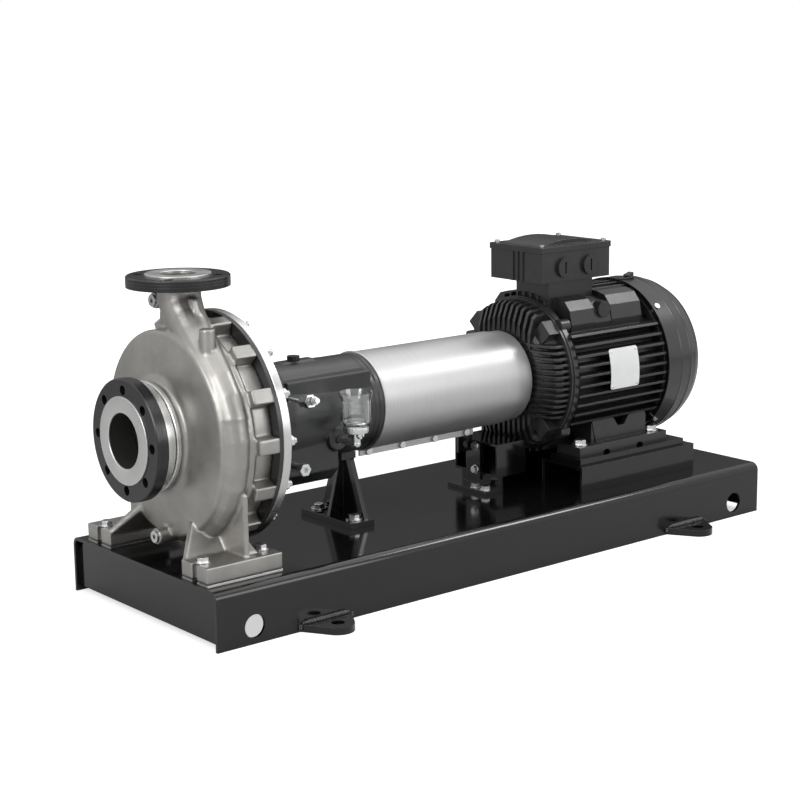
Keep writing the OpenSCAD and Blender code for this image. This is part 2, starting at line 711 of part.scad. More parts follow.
// Closed impeller: two shrouds, curved vanes, eye ring and hub
vane_turn = 62;
vane_r0 = eye_r - 7;
function vane_point(r, offset) = let (a = vane_turn * ln(r / vane_r0) + offset / r * 57.3) r * [cos(a), sin(a)];
vane_radii = [for (i = [0 : 9]) vane_r0 + (impeller_r + 5 - vane_r0) * i / 9];
module vanes() {
  outline = concat([for (r = vane_radii) vane_point(r, 2)], [for (i = [9 : -1 : 0]) vane_point(vane_radii[i], -2)]);
  translate([wear_x1 - 4, 0, shaft_z]) rotate([0, 90, 0])
    for (i = [0 : vane_count - 1]) rotate([0, 0, 360 * i / vane_count]) linear_extrude(64) polygon(outline);
}
module impeller() {
  front = volute_x - impeller_b2 / 2;
  back = volute_x + impeller_b2 / 2;
  color("#a9a7a0") difference() {
    turned([
      [0, wear_x0], [eye_r, wear_x0], [eye_r, wear_x1 + 1], [78, front - 16], [110, front - 7],
      [impeller_r, front - shroud_t], [impeller_r, back + shroud_t], [44, back + shroud_t + 1], [27, hub_back_x], [0, hub_back_x]]);
    difference() {
      turned([
        [0, wear_x0 - 1], [eye_r - 8, wear_x0 - 1], [eye_r - 8, wear_x1], [78, front - 11], [110, front - 3],
        [impeller_r + 2, front], [impeller_r + 2, back], [70, back], [44, back - 8], [30, volute_x - 20],
        [24, volute_x - 32], [0, volute_x - 32]]);
      vanes();
    }
    round_x(shaft_r_impeller, volute_x - 60, hub_back_x + 1);
  }
}

// Cap nut that holds the impeller on the shaft
module impeller_nut() {
  x1 = volute_x - 32;
  color("#b7b5ae") difference() {
    union() {
      turned([[0, x1 - 24], [8, x1 - 23.5], [15, x1 - 21], [20, x1 - 15], [20, x1 - 12], [0, x1 - 12]]);
      translate([x1 - 13, 0, shaft_z]) rotate([0, 90, 0]) hex(36, 13);
    }
    round_x(10, x1 - 18, x1 + 1);
  }
}

// Pump shaft with its thread, impeller seat, sleeve seat, bearing seats and coupling end
cover_stop_x = housing_x0 - 14;
rear_cover_x1 = housing_x1 + 28;
shaft_shoulder_x = pump_end_x - pump_shaft_end;
module pump_shaft() {
  color("#c3c5c7") turned([
    [0, volute_x - 50], [10, volute_x - 50], [10, volute_x - 32], [shaft_r_impeller, volute_x - 32],
    [shaft_r_impeller, hub_back_x], [18, hub_back_x], [18, seal_x1 + 26], [shaft_r_bearing - 2, seal_x1 + 26],
    [shaft_r_bearing - 2, housing_x0 + 2], [shaft_r_bearing, housing_x0 + 2], [shaft_r_bearing, housing_x0 + 2 + bearing_w],
    [30, housing_x0 + 2 + bearing_w], [30, housing_x1 - 4 - 2 * bearing_w], [shaft_r_bearing, housing_x1 - 4 - 2 * bearing_w],
    [shaft_r_bearing, housing_x1 - 3], [shaft_r_bearing - 2, housing_x1 - 3], [shaft_r_bearing - 2, shaft_shoulder_x],
    [shaft_end_r, shaft_shoulder_x], [shaft_end_r, pump_end_x - 2], [shaft_end_r - 2, pump_end_x], [0, pump_end_x]]);
}

// Sleeve that protects the shaft under the seal
module shaft_sleeve() {
  color("#cfd0d1") ring_x(24, 18, hub_back_x, seal_x1 + 22);
}

// Rotating head of the mechanical seal, with its clamped ring
module seal_head() {
  x0 = chamber_rear + 22;
  color("#d9a441") turned([[24, x0], [36, x0], [36, x0 + 22], [33, x0 + 24], [33, seal_x1 - 20], [24, seal_x1 - 20]]);
}

// Stationary seat of the mechanical seal, held in the gland cover
module seal_seat() {
  color("#5a5652") ring_x(36, 24.3, seal_x1 - 19.5, seal_x1 - 8);
}

// Gland cover bolted on the casing cover
module seal_cover() {
  color("#b5b6b4") difference() {
    turned([
      [24.6, seal_x1], [24.6, seal_x1 - 8], [36, seal_x1 - 8], [36, seal_x1 - 14], [cover_hub_r, seal_x1 - 14],
      [cover_hub_r, seal_x1 - 2], [cover_hub_r - 2, seal_x1]]);
    round_shaft(4, 45)
      translate([seal_x1 - 15, -52, 0]) rotate([0, 90, 0]) cylinder(d = 9, h = 20);
  }
}

// Bearing bracket: windowed lantern and oil-filled bearing housing in one casting
vent_x = pump_x + 246;
sump_x1 = housing_x1 - 84;
module bracket_outside() {
  turned([
    [0, bracket_x], [bracket_flange_r, bracket_x], [bracket_flange_r, bracket_x + 14], [124, bracket_x + 14],
    [110, housing_x0 - 30], [housing_r + 6, housing_x0 - 6], [housing_r + 2, housing_x0 + 10],
    [housing_r - 2, housing_x1 - 44], [housing_r - 2, housing_x1], [0, housing_x1]]);
  block([housing_x0, -sump_half_w, shaft_z - 20], [housing_x1 - 5, sump_half_w, shaft_z + 76]);
  difference() {
    block([housing_x0, -sump_half_w, shaft_z - sump_depth], [sump_x1, sump_half_w, shaft_z]);
    both_sides() translate([housing_x0 - 1, sump_half_w, shaft_z - sump_depth - 24]) rotate([45, 0, 0])
      cube([200, 34, 34]);
  }
  translate([vent_x - 32, -12, shaft_z + 60]) cube([74, 24, 38]);
  translate([pump_x + oiler_x, -sump_half_w - 12, elbow_z]) rotate([-90, 0, 0]) cylinder(r = 22, h = 30);
}
module bearing_bracket() {
  x0 = housing_x0 + 2;
  x1 = housing_x1 - 3;
  color("#26282a") difference() {
    bracket_outside();
    turned([
      [0, bracket_x - 1], [114, bracket_x - 1], [114, bracket_x + 14], [98, housing_x0 - 34],
      [72, housing_x0 - 16], [0, housing_x0 - 16]]);
    round_x(bearing_r, housing_x0 - 17, x0 + bearing_w);
    round_x(bearing_r, x1 - 1 - 2 * bearing_w, housing_x1 + 1);
    round_x(housing_r - 30, x0 + bearing_w - e, x1 - 2 * bearing_w - 1 + e);
    block([x0 + bearing_w, housing_wall - sump_half_w, shaft_z - sump_depth + housing_wall + 14],
      [sump_x1 - housing_wall, sump_half_w - housing_wall, shaft_z - 10]);
    both_sides() block([bracket_x + 22, 60, shaft_z - 46], [housing_x0 - 26, 160, shaft_z + 46]);
    translate([vent_x, 0, shaft_z + 40]) cylinder(r = 8.2, h = 70);
    round_shaft(8, 22.5)
      translate([bracket_x - 1, -bracket_flange_r + 12, 0]) rotate([0, 90, 0]) cylinder(d = stud_d + 1, h = 20);
    translate([pump_x + oiler_x, -sump_half_w - 13, elbow_z]) rotate([-90, 0, 0]) cylinder(r = 7, h = 13);
    translate([flush_x, 0, flush_z]) rotate([90, 0, 0]) cylinder(r = 4.2, h = 150);
    translate([leak_x, 0, leak_z]) rotate([90, 0, 0]) cylinder(r = 6.2, h = 150);
    round_shaft(4, 45)
      translate([housing_x1 - 14, -76, 0]) rotate([0, 90, 0]) cylinder(d = 10, h = 20);
  }
}

// Bolts that hold the bracket on the adapter ring
module bracket_bolts() {
  color("#c6c8c9") round_shaft(8, 22.5) translate([bracket_x + 14, -bracket_flange_r + 12, 0]) rotate([0, 90, 0])
    hex_bolt(stud_d, adapter_t + 13, false);
}

// Inner bearing cover, seen through the lantern's windows
module front_bearing_cover() {
  color("#2d2f31") turned([
    [shaft_r_bearing - 1.7, housing_x0 - 25], [60, housing_x0 - 25], [70, housing_x0 - 21], [70, housing_x0 - 16],
    [bearing_r - seat_gap, housing_x0 - 16], [bearing_r - seat_gap, housing_x0 + 2], [bearing_r - 8, housing_x0 + 2],
    [bearing_r - 8, housing_x0 - 10], [shaft_r_bearing - 1.7, housing_x0 - 10]]);
}

// Outer bearing cover, which also centres the coupling guard
module rear_bearing_cover() {
  r = housing_r - 4;
  color("#232527") difference() {
    turned([
      [shaft_r_bearing - 1.7, housing_x1 + 2], [bearing_r - 8, housing_x1 + 2], [bearing_r - 8, housing_x1 - 3],
      [bearing_r - seat_gap, housing_x1 - 3], [bearing_r - seat_gap, housing_x1], [r, housing_x1],
      [r, housing_x1 + 9], [guard_r - 1, housing_x1 + 11], [guard_r - 1, guard_x0], [guard_r - guard_t - 0.3, guard_x0],
      [guard_r - guard_t - 0.3, guard_x0 + 10], [guard_r - guard_t - 6, guard_x0 + 10],
      [guard_r - guard_t - 6, housing_x1 + 14], [40, housing_x1 + 12], [34, housing_x1 + 20], [shaft_r_bearing - 1.7, housing_x1 + 20]]);
    round_shaft(4, 45)
      translate([housing_x1 - 1, -76, 0]) rotate([0, 90, 0]) cylinder(d = 11, h = 20);
  }
}

// A ball bearing's outer ring, and its inner ring with the balls
module bearing_outer(x, ro, ri, w) {
  mid = (ro + ri) / 2;
  groove = (ro - ri) * 0.27;
  difference() {
    ring_x(ro, mid + groove * 0.62, x, x + w);
    translate([x + w / 2, 0, shaft_z]) rotate([0, 90, 0]) rotate_extrude() translate([mid, 0]) circle(r = groove + 0.05, $fn = 32);
  }
}
module bearing_inner(x, ro, ri, w, balls) {
  mid = (ro + ri) / 2;
  groove = (ro - ri) * 0.27;
  difference() {
    ring_x(mid - groove * 0.62, ri, x, x + w);
    translate([x + w / 2, 0, shaft_z]) rotate([0, 90, 0]) rotate_extrude() translate([mid, 0]) circle(r = groove, $fn = 32);
  }
  round_shaft(balls) translate([x + w / 2, -mid, 0]) sphere(r = groove - 0.02, $fn = 32);
}
pump_bearing_xs = [housing_x0 + 2, housing_x1 - 3 - 2 * bearing_w, housing_x1 - 3 - bearing_w];
module pump_bearing_outers() {
  color("#b9bcbe") for (x = pump_bearing_xs) bearing_outer(x, bearing_r, shaft_r_bearing, bearing_w);
}
module pump_bearing_inners() {
  color("#c9cccd") for (x = pump_bearing_xs) bearing_inner(x, bearing_r, shaft_r_bearing, bearing_w, 9);
}

// Push-in filler and vent plug on top of the bearing housing
module vent_plug() {
  color("#101112") translate([vent_x, 0, shaft_z + 98]) {
    difference() {
      cylinder(r = 12, h = 8);
      for (i = [0 : 9]) rotate([0, 0, 36 * i]) translate([13, 0, -1]) cylinder(r = 1.8, h = 11, $fn = 16);
    }
    translate([0, 0, -22]) cylinder(r = 8.1, h = 23);
  }
}

// Flushing connection: a pipe and its screwed fitting, in the bracket's side
flush_x = housing_x0 - 2;
flush_z = shaft_z + 49;
module flush_fitting() {
  color("#c9cbcc") translate([flush_x, 0, flush_z]) rotate([90, 0, 0]) {
    translate([0, 0, 80]) cylinder(r = 4, h = 52);
    translate([0, 0, 130]) rotate([-11, 0, 0]) {
      cylinder(r = 5.5, h = 10);
      translate([0, 0, 2]) hex(17, 11);
      translate([0, 0, 12]) cylinder(r = 7, h = 10);
      translate([0, 0, 17]) hex(22, 12);
      translate([0, 0, 28]) cylinder(r = 6.5, h = 16);
      translate([0, 0, 33]) hex(15, 7);
      translate([0, 0, 42]) cylinder(r = 5, h = 7);
    }
  }
}

// Leakage connection: short pipe with a hexagon plug
leak_x = housing_x0 + 4;
leak_z = shaft_z - 78;
module leak_plug() {
  color("#c6c8c9") translate([leak_x, -70, leak_z]) rotate([90, 0, 0]) difference() {
    union() {
      cylinder(r = 6, h = 50);
      translate([0, 0, 15]) cylinder(r = 8.5, h = 34);
      translate([0, 0, 48]) hex(21, 12);
    }
    translate([0, 0, 54]) hex(9, 8);
  }
}

// Oiler: elbow from the housing's boss up to the hinged reservoir's seat
oiler_cx = pump_x + oiler_x;
oiler_z = shaft_z - oiler_drop;
elbow_z = shaft_z - 42;
module oiler_elbow() {
  color("#cfd1d2") difference() {
    union() {
      translate([oiler_cx, -oiler_y, elbow_z]) rotate([-90, 0, 0]) cylinder(r = 6.8, h = oiler_y - sump_half_w - 2);
      translate([oiler_cx, -oiler_y, elbow_z]) sphere(r = 9);
      translate([oiler_cx, -oiler_y, elbow_z]) cylinder(r = 8.5, h = oiler_z - elbow_z - 0.3);
      translate([oiler_cx - 3, -oiler_y - 14, oiler_z - 11]) cube([6, 14, 9]);
    }
    translate([oiler_cx, -oiler_y, elbow_z]) cylinder(r = 4, h = 60);
    translate([oiler_cx - 10, -oiler_y - 12, oiler_z - 5.5]) rotate([0, 90, 0]) cylinder(r = 1.55, h = 20);
  }
}

// Metal collar that carries the bottle, with the hinge ears and pin
module oiler_ring() {
  color("#d5d7d8") {
    difference() {
      translate([oiler_cx, -oiler_y, oiler_z]) cylinder(r = bottle_r - 7, h = 11);
      translate([oiler_cx, -oiler_y, oiler_z + 3]) cylinder(r = bottle_r - 11, h = 12);
    }
    for (s = [-1, 1]) translate([oiler_cx + s * 5 - 1.5, -oiler_y - 12, oiler_z - 5.5]) {
      translate([0, -3, 0]) cube([3, 6, 6]);
      rotate([0, 90, 0]) cylinder(r = 3.4, h = 3);
    }
    translate([oiler_cx - 8, -oiler_y - 12, oiler_z - 5.5]) rotate([0, 90, 0]) cylinder(r = 1.5, h = 16);
  }
}

// Clear reservoir with a flared top rim
module oiler_bottle() {
  z = oiler_z + 3;
  color("#dfe6ea", 0.4) translate([oiler_cx, -oiler_y, z]) rotate_extrude() polygon([
    [0, 0], [bottle_r - 11.2, 0], [bottle_r - 11.2, 8.5], [bottle_r - 4, 11], [bottle_r - 2, 16], [bottle_r - 2.5, bottle_h - 18],
    [bottle_r, bottle_h - 7], [bottle_r + 2, bottle_h], [bottle_r - 1, bottle_h], [bottle_r - 5.5, bottle_h - 14],
    [bottle_r - 5, 18], [bottle_r - 13, 12], [bottle_r - 13, 3], [0, 3]]);
}

// Support foot: an A-shaped leg under the rear of the bearing housing
module support_foot() {
  leg = support_leg_x;
  top = shaft_z - housing_r + 3;
  color("#1b1c1e") difference() {
    union() {
      block([leg - 46, -support_span / 2 - 24, base_h], [leg + 10, support_span / 2 + 24, base_h + 12]);
      translate([leg - 5, 0, 0]) rotate([90, 0, 90]) linear_extrude(10)
        polygon([[-68, base_h + 11], [68, base_h + 11], [26, top - 14], [30, top + 8], [-30, top + 8], [-26, top - 14]]);
      translate([0, 4, 0]) rotate([90, 0, 0]) linear_extrude(8)
        polygon([[leg - 40, base_h + 11], [leg, base_h + 11], [leg, top - 4], [leg - 10, top - 8]]);
      block([leg - 28, -30, top - 10], [leg + 6, 30, top + 8]);
    }
    round_x(housing_r - 1.9, housing_x1 - 80, housing_x1 + 40);
    for (y = [-1, 1] * support_span / 2)
      translate([pump_x + support_x, y, base_h - 1]) cylinder(d = foot_bolt_d + 2, h = 20);
  }
}
module support_bolts() {
  color("#c6c8c9") for (y = [-1, 1] * support_span / 2) translate([pump_x + support_x, y, base_h + 12]) {
    hex_bolt(foot_bolt_d, 12 + base_t + 14);
    translate([0, 0, -12 - base_t - 10]) hex(1.55 * foot_bolt_d, 10);
  }
}

// Spacer coupling: two hubs, a spacer, two disc packs and their bolts
hub_boss_r = 35;
coupling_bolt_r = coupling_r - 12;
module coupling_hub(bore_end, face, way) {
  x0 = way > 0 ? face - hub_l : face;
  difference() {
    union() {
      round_x(hub_boss_r, x0, x0 + hub_l);
      round_x(coupling_r, way > 0 ? face - 10 : face, way > 0 ? face : face + 10);
    }
    round_x(shaft_end_r, x0 - 1, x0 + hub_l + 1);
    round_shaft(coupling_bolts_n)
      translate([face - 11, -coupling_bolt_r, 0]) rotate([0, 90, 0]) cylinder(d = 8, h = 22);
  }
}
module pump_hub() {
  color("#3c4043") coupling_hub(pump_end_x, pump_end_x, 1);
}
module motor_hub() {
  color("#3c4043") coupling_hub(motor_end_x, motor_end_x, -1);
}
module coupling_spacer() {
  x0 = pump_end_x + pack_t;
  x1 = motor_end_x - pack_t;
  color("#3c4043") difference() {
    union() {
      round_x(coupling_r, x0, x0 + 10);
      round_x(40, x0, x1);
      round_x(coupling_r, x1 - 10, x1);
    }
    round_x(33, x0 - 1, x1 + 1);
    round_shaft(coupling_bolts_n) {
      translate([x0 - 1, -coupling_bolt_r, 0]) rotate([0, 90, 0]) cylinder(d = 8, h = 12);
      translate([x1 - 11, -coupling_bolt_r, 0]) rotate([0, 90, 0]) cylinder(d = 8, h = 12);
    }
  }
}
module disc_packs() {
  color("#b9bcbe") for (x = [pump_end_x, motor_end_x - pack_t]) difference() {
    ring_x(coupling_r - 1, hub_boss_r + 3, x, x + pack_t);
    round_shaft(coupling_bolts_n)
      translate([x - 1, -coupling_bolt_r, 0]) rotate([0, 90, 0]) cylinder(d = 8, h = pack_t + 2);
  }
}
module coupling_bolts() {
  color("#c6c8c9") for (x = [pump_end_x - 10, motor_end_x - pack_t - 10]) round_shaft(coupling_bolts_n)
    translate([x, -coupling_bolt_r, 0]) rotate([0, 90, 0]) {
      cylinder(d = 8, h = 20 + pack_t);
      translate([0, 0, -5]) hex(13, 5);
      translate([0, 0, 20 + pack_t]) hex(13, 6);
    }
}

// Coupling guard: rolled sheet with two edges turned down and bolted below
module guard_tube() {
  color("#d4d6d7") difference() {
    union() {
      round_x(guard_r, guard_x0, guard_split_x);
      turned([
        [guard_r - 1, guard_x0], [guard_r + 1, guard_x0], [guard_r + 2.2, guard_x0 + 1.5], [guard_r + 2.2, guard_x0 + 4],
        [guard_r + 1, guard_x0 + 5.5], [guard_r - 1, guard_x0 + 5.5]]);
      block([guard_x0 + 10, -3, guard_edge_z], [stand_x - 10, 3, shaft_z - guard_r + 3]);
    }
    round_x(guard_r - guard_t, guard_x0 - 1, guard_split_x + 1);
    block([guard_x0 + 9, -0.2, guard_edge_z - 1], [stand_x - 9, 0.2, shaft_z - guard_r]);
    for (x = guard_bolt_x) translate([x, 10, guard_edge_z + 7]) rotate([90, 0, 0]) cylinder(d = 8, h = 20);
  }
}
module guard_sleeve() {
  r = guard_r - guard_t - 0.3;
  color("#dcdedf") ring_x(r, r - guard_t, guard_split_x - 70, guard_x1);
}
module guard_bolts() {
  color("#c6c8c9") for (i = [0 : 3]) translate([guard_bolt_x[i], -3, guard_edge_z + 7]) rotate([90, 0, 0]) {
    hex(13, 5);
    translate([0, 0, -20]) cylinder(d = 8, h = 22);
    translate([0, 0, i == 3 ? -18.2 : -12]) hex(13, 6);
  }
}

// Motor frame: barrel with side, top and bottom fins, feet and terminal box saddle
saddle_x0 = frame_x0 + 14;
saddle_x1 = saddle_x0 + 124;
box_y = -20;
box_z = shaft_z + 196;
module frame_fins() {
  rows = floor(110 / fin_pitch);
  intersection() {
    ring_x(fin_r, motor_barrel_r - 4, frame_x0 + 8, frame_x1);
    union() {
      for (i = [-rows : rows - 1]) block(
        [frame_x0 + 8, -fin_r - 1, shaft_z + (i + 0.5) * fin_pitch - fin_t / 2],
        [frame_x1, fin_r + 1, shaft_z + (i + 0.5) * fin_pitch + fin_t / 2]);
      for (i = [-3 : 3]) block(
        [frame_x0 + 8, i * fin_pitch - fin_t / 2, shaft_z - fin_r - 1],
        [frame_x1, i * fin_pitch + fin_t / 2, shaft_z + fin_r + 1]);
    }
  }
}
module motor_foot() {
  y1 = motor_a / 2 + 23;
  y0 = 84;
  x0 = motor_foot_x0 - 22;
  x1 = motor_foot_x1 + 24;
  mid = (motor_foot_x0 + motor_foot_x1) / 2;
  block([x0, y0, motor_foot_z], [x1, y1, motor_foot_z + 20]);
  translate([0, motor_a / 2 + 4, 0]) rotate([90, 0, 0]) linear_extrude(11) polygon([
    [mid - 62, motor_foot_z + 19], [mid - 74, motor_foot_z + 66], [mid - 14, motor_foot_z + 66], [mid + 2, motor_foot_z + 46],
    [mid + 20, motor_foot_z + 46], [mid + 36, motor_foot_z + 68], [mid + 82, motor_foot_z + 68], [mid + 86, motor_foot_z + 19]]);
  for (x = [mid - 74, mid - 14, mid + 30, mid + 78])
    translate([x, 0, 0]) rotate([90, 0, 90]) linear_extrude(9)
      polygon([[y0, motor_foot_z + 19], [motor_a / 2 + 2, motor_foot_z + 19], [motor_a / 2 + 2, motor_foot_z + 60],
        [104, shaft_z - 92], [70, shaft_z - 118]]);
}
module motor_frame() {
  mid = (motor_foot_x0 + motor_foot_x1) / 2;
  y1 = motor_a / 2 + 23;
  color("#26282a") difference() {
    union() {
      round_x(motor_barrel_r, frame_x0, frame_x1);
      round_x(fin_r - 8, frame_x0, frame_x0 + 12);
      frame_fins();
      block([saddle_x0, box_y - 48, shaft_z + 100], [saddle_x1, box_y + 48, box_z]);
      both_sides() {
        motor_foot();
        for (lump = [[31, 68, 1], [96, 48, 0.88], [146, 88, 1.04]]) translate([frame_x0 + lump[0], 0, shaft_z + 92])
          rotate([90, 0, 90]) linear_extrude(lump[1]) scale([1, lump[2]])
            polygon([[52, 0], [114, 0], [118, 16], [112, 44], [96, 62], [72, 68], [52, 68]]);
        translate([frame_x0 + 122, 100, shaft_z + 132]) rotate([-90, 0, 0]) cylinder(r = 17, h = 20);
        for (s = [-1, 1]) translate([frame_x0, 108, shaft_z + s * 108]) rotate([0, 90, 0]) cylinder(r = 14, h = 24);
      }
    }
    round_x(motor_bore_r, frame_x0 - 1, frame_x1 + 1);
    round_x(cowl_r + 2, frame_x1 + 0.5, cowl_x1);
    both_sides() {
      for (x = [motor_foot_x0, motor_foot_x1])
        translate([x, motor_a / 2, motor_foot_z - 1]) cylinder(d = motor_bolt_d + 0.5, h = 22);
      for (x = [mid - 50, mid + 48])
        translate([x, y1 - 16, motor_foot_z - 4]) rotate([-90, 0, 0]) cylinder(r = 11, h = 17);
    }
  }
}

// Drive end shield with its stiffening fins and bolt lugs
module drive_shield() {
  color("#26282a") difference() {
    union() {
      turned([
        [0, shield_x], [74, shield_x], [80, shield_x + 5], [112, shield_x + 12], [128, shield_x + 26],
        [135, frame_x0 - 6], [fin_r - 10, frame_x0 - 6], [fin_r - 10, frame_x0],
        [motor_bore_r - seat_gap, frame_x0], [motor_bore_r - seat_gap, frame_x0 + 8], [0, frame_x0 + 8]]);
      intersection() {
        turned([
          [70, shield_x + 4], [120, shield_x + 4], [146, shield_x + 14], [152, shield_x + 24], [152, frame_x0 - 5], [70, frame_x0 - 5]]);
        union() {
          for (i = [-6 : 6]) block([shield_x, -160, shaft_z + 12 * i - 2.5], [frame_x0, 160, shaft_z + 12 * i + 2.5]);
          for (i = [-5 : 5]) block([shield_x, 15 * i - 3, shaft_z - 160], [frame_x0, 15 * i + 3, shaft_z + 160]);
        }
      }
      for (a = [45, 135, 225, 315]) translate([shield_x + 18, 0, shaft_z]) rotate([a, 0, 0])
        translate([0, 118, -17]) cube([frame_x0 - shield_x - 23.5, 36, 34]);
    }
    round_x(51, drive_bearing_x, frame_x0 + 9);
    round_x(23.5, shield_x - 1, drive_bearing_x + 1);
    turned([[50, shield_x + 34], [70, shield_x + 34], [112, frame_x0 + 9], [50, frame_x0 + 9]]);
  }
}

// Fan end shield, under the fan cover
fan_bearing_x = frame_x1 - 2;
cowl_seat_r = cowl_r - 12;
module fan_shield() {
  color("#26282a") difference() {
    turned([
      [50, frame_x1 - 8], [motor_bore_r - seat_gap, frame_x1 - 8], [motor_bore_r - seat_gap, frame_x1], [cowl_seat_r, frame_x1],
      [cowl_seat_r, cowl_x0 + 20], [cowl_seat_r - 8, cowl_x0 + 20], [cowl_seat_r - 10, frame_x1 + 9], [100, frame_x1 + 12], [62, frame_x1 + 26], [28, frame_x1 + 28], [28, frame_x1 + 23], [50, frame_x1 + 23]]);
    round_shaft(4, 45)
      translate([frame_x1 - 1, -140, 0]) rotate([0, 90, 0]) cylinder(d = 9, h = 12);
  }
}

// Laminated stator with its winding heads
stack_x0 = frame_x0 + (frame_l - stack_l) / 2;
module stator_core() {
  color("#6d7073") ring_x(motor_bore_r, stator_bore_r, stack_x0, stack_x0 + stack_l);
}
module stator_windings() {
  color("#9a5b2c") for (x = [[stack_x0 - 27, stack_x0], [stack_x0 + stack_l, stack_x0 + stack_l + 27]])
    ring_x(114, stator_bore_r + 9, x[0], x[1]);
}

// Motor shaft with the rotor pack shrunk on it
shaft_core_r = 28;
drive_bearing_x = shield_x + 8;
module motor_rotor() {
  color("#b4b7b9") turned([
    [0, motor_end_x], [shaft_end_r - 2, motor_end_x], [shaft_end_r, motor_end_x + 2], [shaft_end_r, shoulder_x],
    [22.5, shoulder_x], [22.5, drive_bearing_x + 25], [shaft_core_r, drive_bearing_x + 25], [shaft_core_r, stack_x0],
    [stator_bore_r - air_gap, stack_x0], [stator_bore_r - air_gap, stack_x0 + stack_l], [shaft_core_r, stack_x0 + stack_l],
    [shaft_core_r, fan_bearing_x], [22.5, fan_bearing_x], [22.5, fan_bearing_x + 26], [19, fan_bearing_x + 26],
    [19, cowl_x0 + 74], [0, cowl_x0 + 74]]);
}
motor_bearing_xs = [drive_bearing_x, fan_bearing_x];
module motor_bearing_outers() {
  color("#b9bcbe") {
    for (x = motor_bearing_xs) bearing_outer(x, 50, 22.5, 25);
    ring_x(51, 50, drive_bearing_x, drive_bearing_x + 25);
  }
}
module motor_bearing_inners() {
  color("#c9cccd") for (x = motor_bearing_xs) bearing_inner(x, 50, 22.5, 25, 8);
}

// Radial cooling fan on the shaft's rear end
module motor_fan() {
  x0 = cowl_x0 + 34;
  color("#3a3c3e") difference() {
    union() {
      round_x(34, x0, x0 + 38);
      round_x(132, x0, x0 + 4);
      for (i = [0 : 8]) translate([x0, 0, shaft_z]) rotate([40 * i, 0, 0]) translate([0, 30, -2]) cube([36, 102, 4]);
    }
    round_x(19, x0 - 1, x0 + 39);
  }
}

// Fan cover: pressed cowl with a grille in its rear face
module fan_cover() {
  r = cowl_r;
  color("#1a1b1d") difference() {
    turned([
      [r - cowl_t, cowl_x0], [r, cowl_x0], [r - 1, cowl_x0 + 40], [r - 4, cowl_x1 - 48], [r - 9, cowl_x1 - 26],
      [r - 17, cowl_x1 - 10], [r - 29, cowl_x1 - 2], [r - 44, cowl_x1], [0, cowl_x1], [0, cowl_x1 - cowl_t],
      [r - 45, cowl_x1 - cowl_t], [r - 30, cowl_x1 - 4.6], [r - 19, cowl_x1 - 12], [r - 11.5, cowl_x1 - 27],
      [r - 4 - cowl_t, cowl_x1 - 48], [r - 1 - cowl_t, cowl_x0 + 40]]);
    for (k = [0 : 5]) difference() {
      ring_x(36 + 16 * k + 10, 36 + 16 * k, cowl_x1 - 2 * cowl_t, cowl_x1 + 1);
      for (i = [0 : 7]) translate([cowl_x1 - 3 * cowl_t, 0, shaft_z]) rotate([45 * i, 0, 0])
        translate([0, 0, -4]) cube([5 * cowl_t, r, 8]);
    }
    round_shaft(4, 45) translate([cowl_x0 + 12, -r - 2, 0]) rotate([-90, 0, 0]) cylinder(d = 7, h = 8);
  }
}

// Screws of the fan cover and of the terminal box's lid
module motor_screws() {
  color("#d2d4d5") {
    round_shaft(4, 45) translate([cowl_x0 + 12, -cowl_r - 3, 0]) rotate([-90, 0, 0]) {
      cylinder(r = 6.5, h = 3);
      cylinder(d = 7, h = cowl_r + 3 - cowl_seat_r);
    }
    for (sx = [-1, 1], sy = [-1, 1])
      translate([box_x + sx * (box_l / 2 - 9), box_y + sy * (box_w / 2 - 9), box_z + box_h + 1]) {
        translate([0, 0, 12]) cylinder(r = 5, h = 4);
        cylinder(r = 3, h = 13);
      }
  }
}

// Bolts of the motor's feet, through pads and rails
module motor_foot_bolts() {
  color("#c6c8c9") both_sides() for (x = [motor_foot_x0, motor_foot_x1])
    translate([x, motor_a / 2, motor_foot_z + 20]) {
      hex_bolt(motor_bolt_d, 20 + pad_t + rail_t + 14);
      translate([0, 0, -20 - pad_t - rail_t - 11]) hex(1.55 * motor_bolt_d, 11);
    }
}

// Terminal box: cast body with ribs, entries and a domed lid
box_x = (saddle_x0 + saddle_x1) / 2 - 12;
module box_shell(h, inset, z0) {
  block([box_x - box_l / 2 + inset, box_y - box_w / 2 + inset, z0], [box_x + box_l / 2 - inset, box_y + box_w / 2 - inset, z0 + h]);
}
entry_x = [box_x - 35, box_x + 37];
module terminal_box() {
  color("#222426") difference() {
    union() {
      box_shell(box_h, 0, box_z);
      for (y = [-22, -8, 6]) block([box_x - box_l / 2 - 3, box_y + y, box_z], [box_x - box_l / 2 + e, box_y + y + 5, box_z + box_h]);
    }
    box_shell(box_h, box_wall + 10, box_z + 6);
    for (x = entry_x) translate([x, box_y - box_w / 2 - 1, box_z + box_h / 2 - 2]) rotate([-90, 0, 0]) cylinder(r = 18, h = 18);
    for (sx = [-1, 1], sy = [-1, 1])
      translate([box_x + sx * (box_l / 2 - 9), box_y + sy * (box_w / 2 - 9), box_z + box_h - 12]) cylinder(r = 2.6, h = 13);
  }
}
module terminal_lid() {
  z = box_z + box_h;
  hx = box_l / 2 + 2;
  hy = box_w / 2 + 2;
  color("#222426") difference() {
    union() {
      box_shell(12, -2, z);
      translate([box_x, box_y + hy - 20, z]) rotate([90, 0, 0]) linear_extrude(2 * hy - 40)
        polygon(concat([[22 - hx, 8]], [for (i = [0 : 8]) let (t = -1 + i / 4) [(hx - 22) * t, 12 + 10 * (1 - t * t)]], [[hx - 22, 8]]));
    }
    box_shell(8, box_wall + 10, z - 1);
    for (sx = [-1, 1], sy = [-1, 1]) translate([box_x + sx * (box_l / 2 - 9), box_y + sy * (box_w / 2 - 9), z - 1])
      cylinder(r = 3.2, h = 40);
  }
}

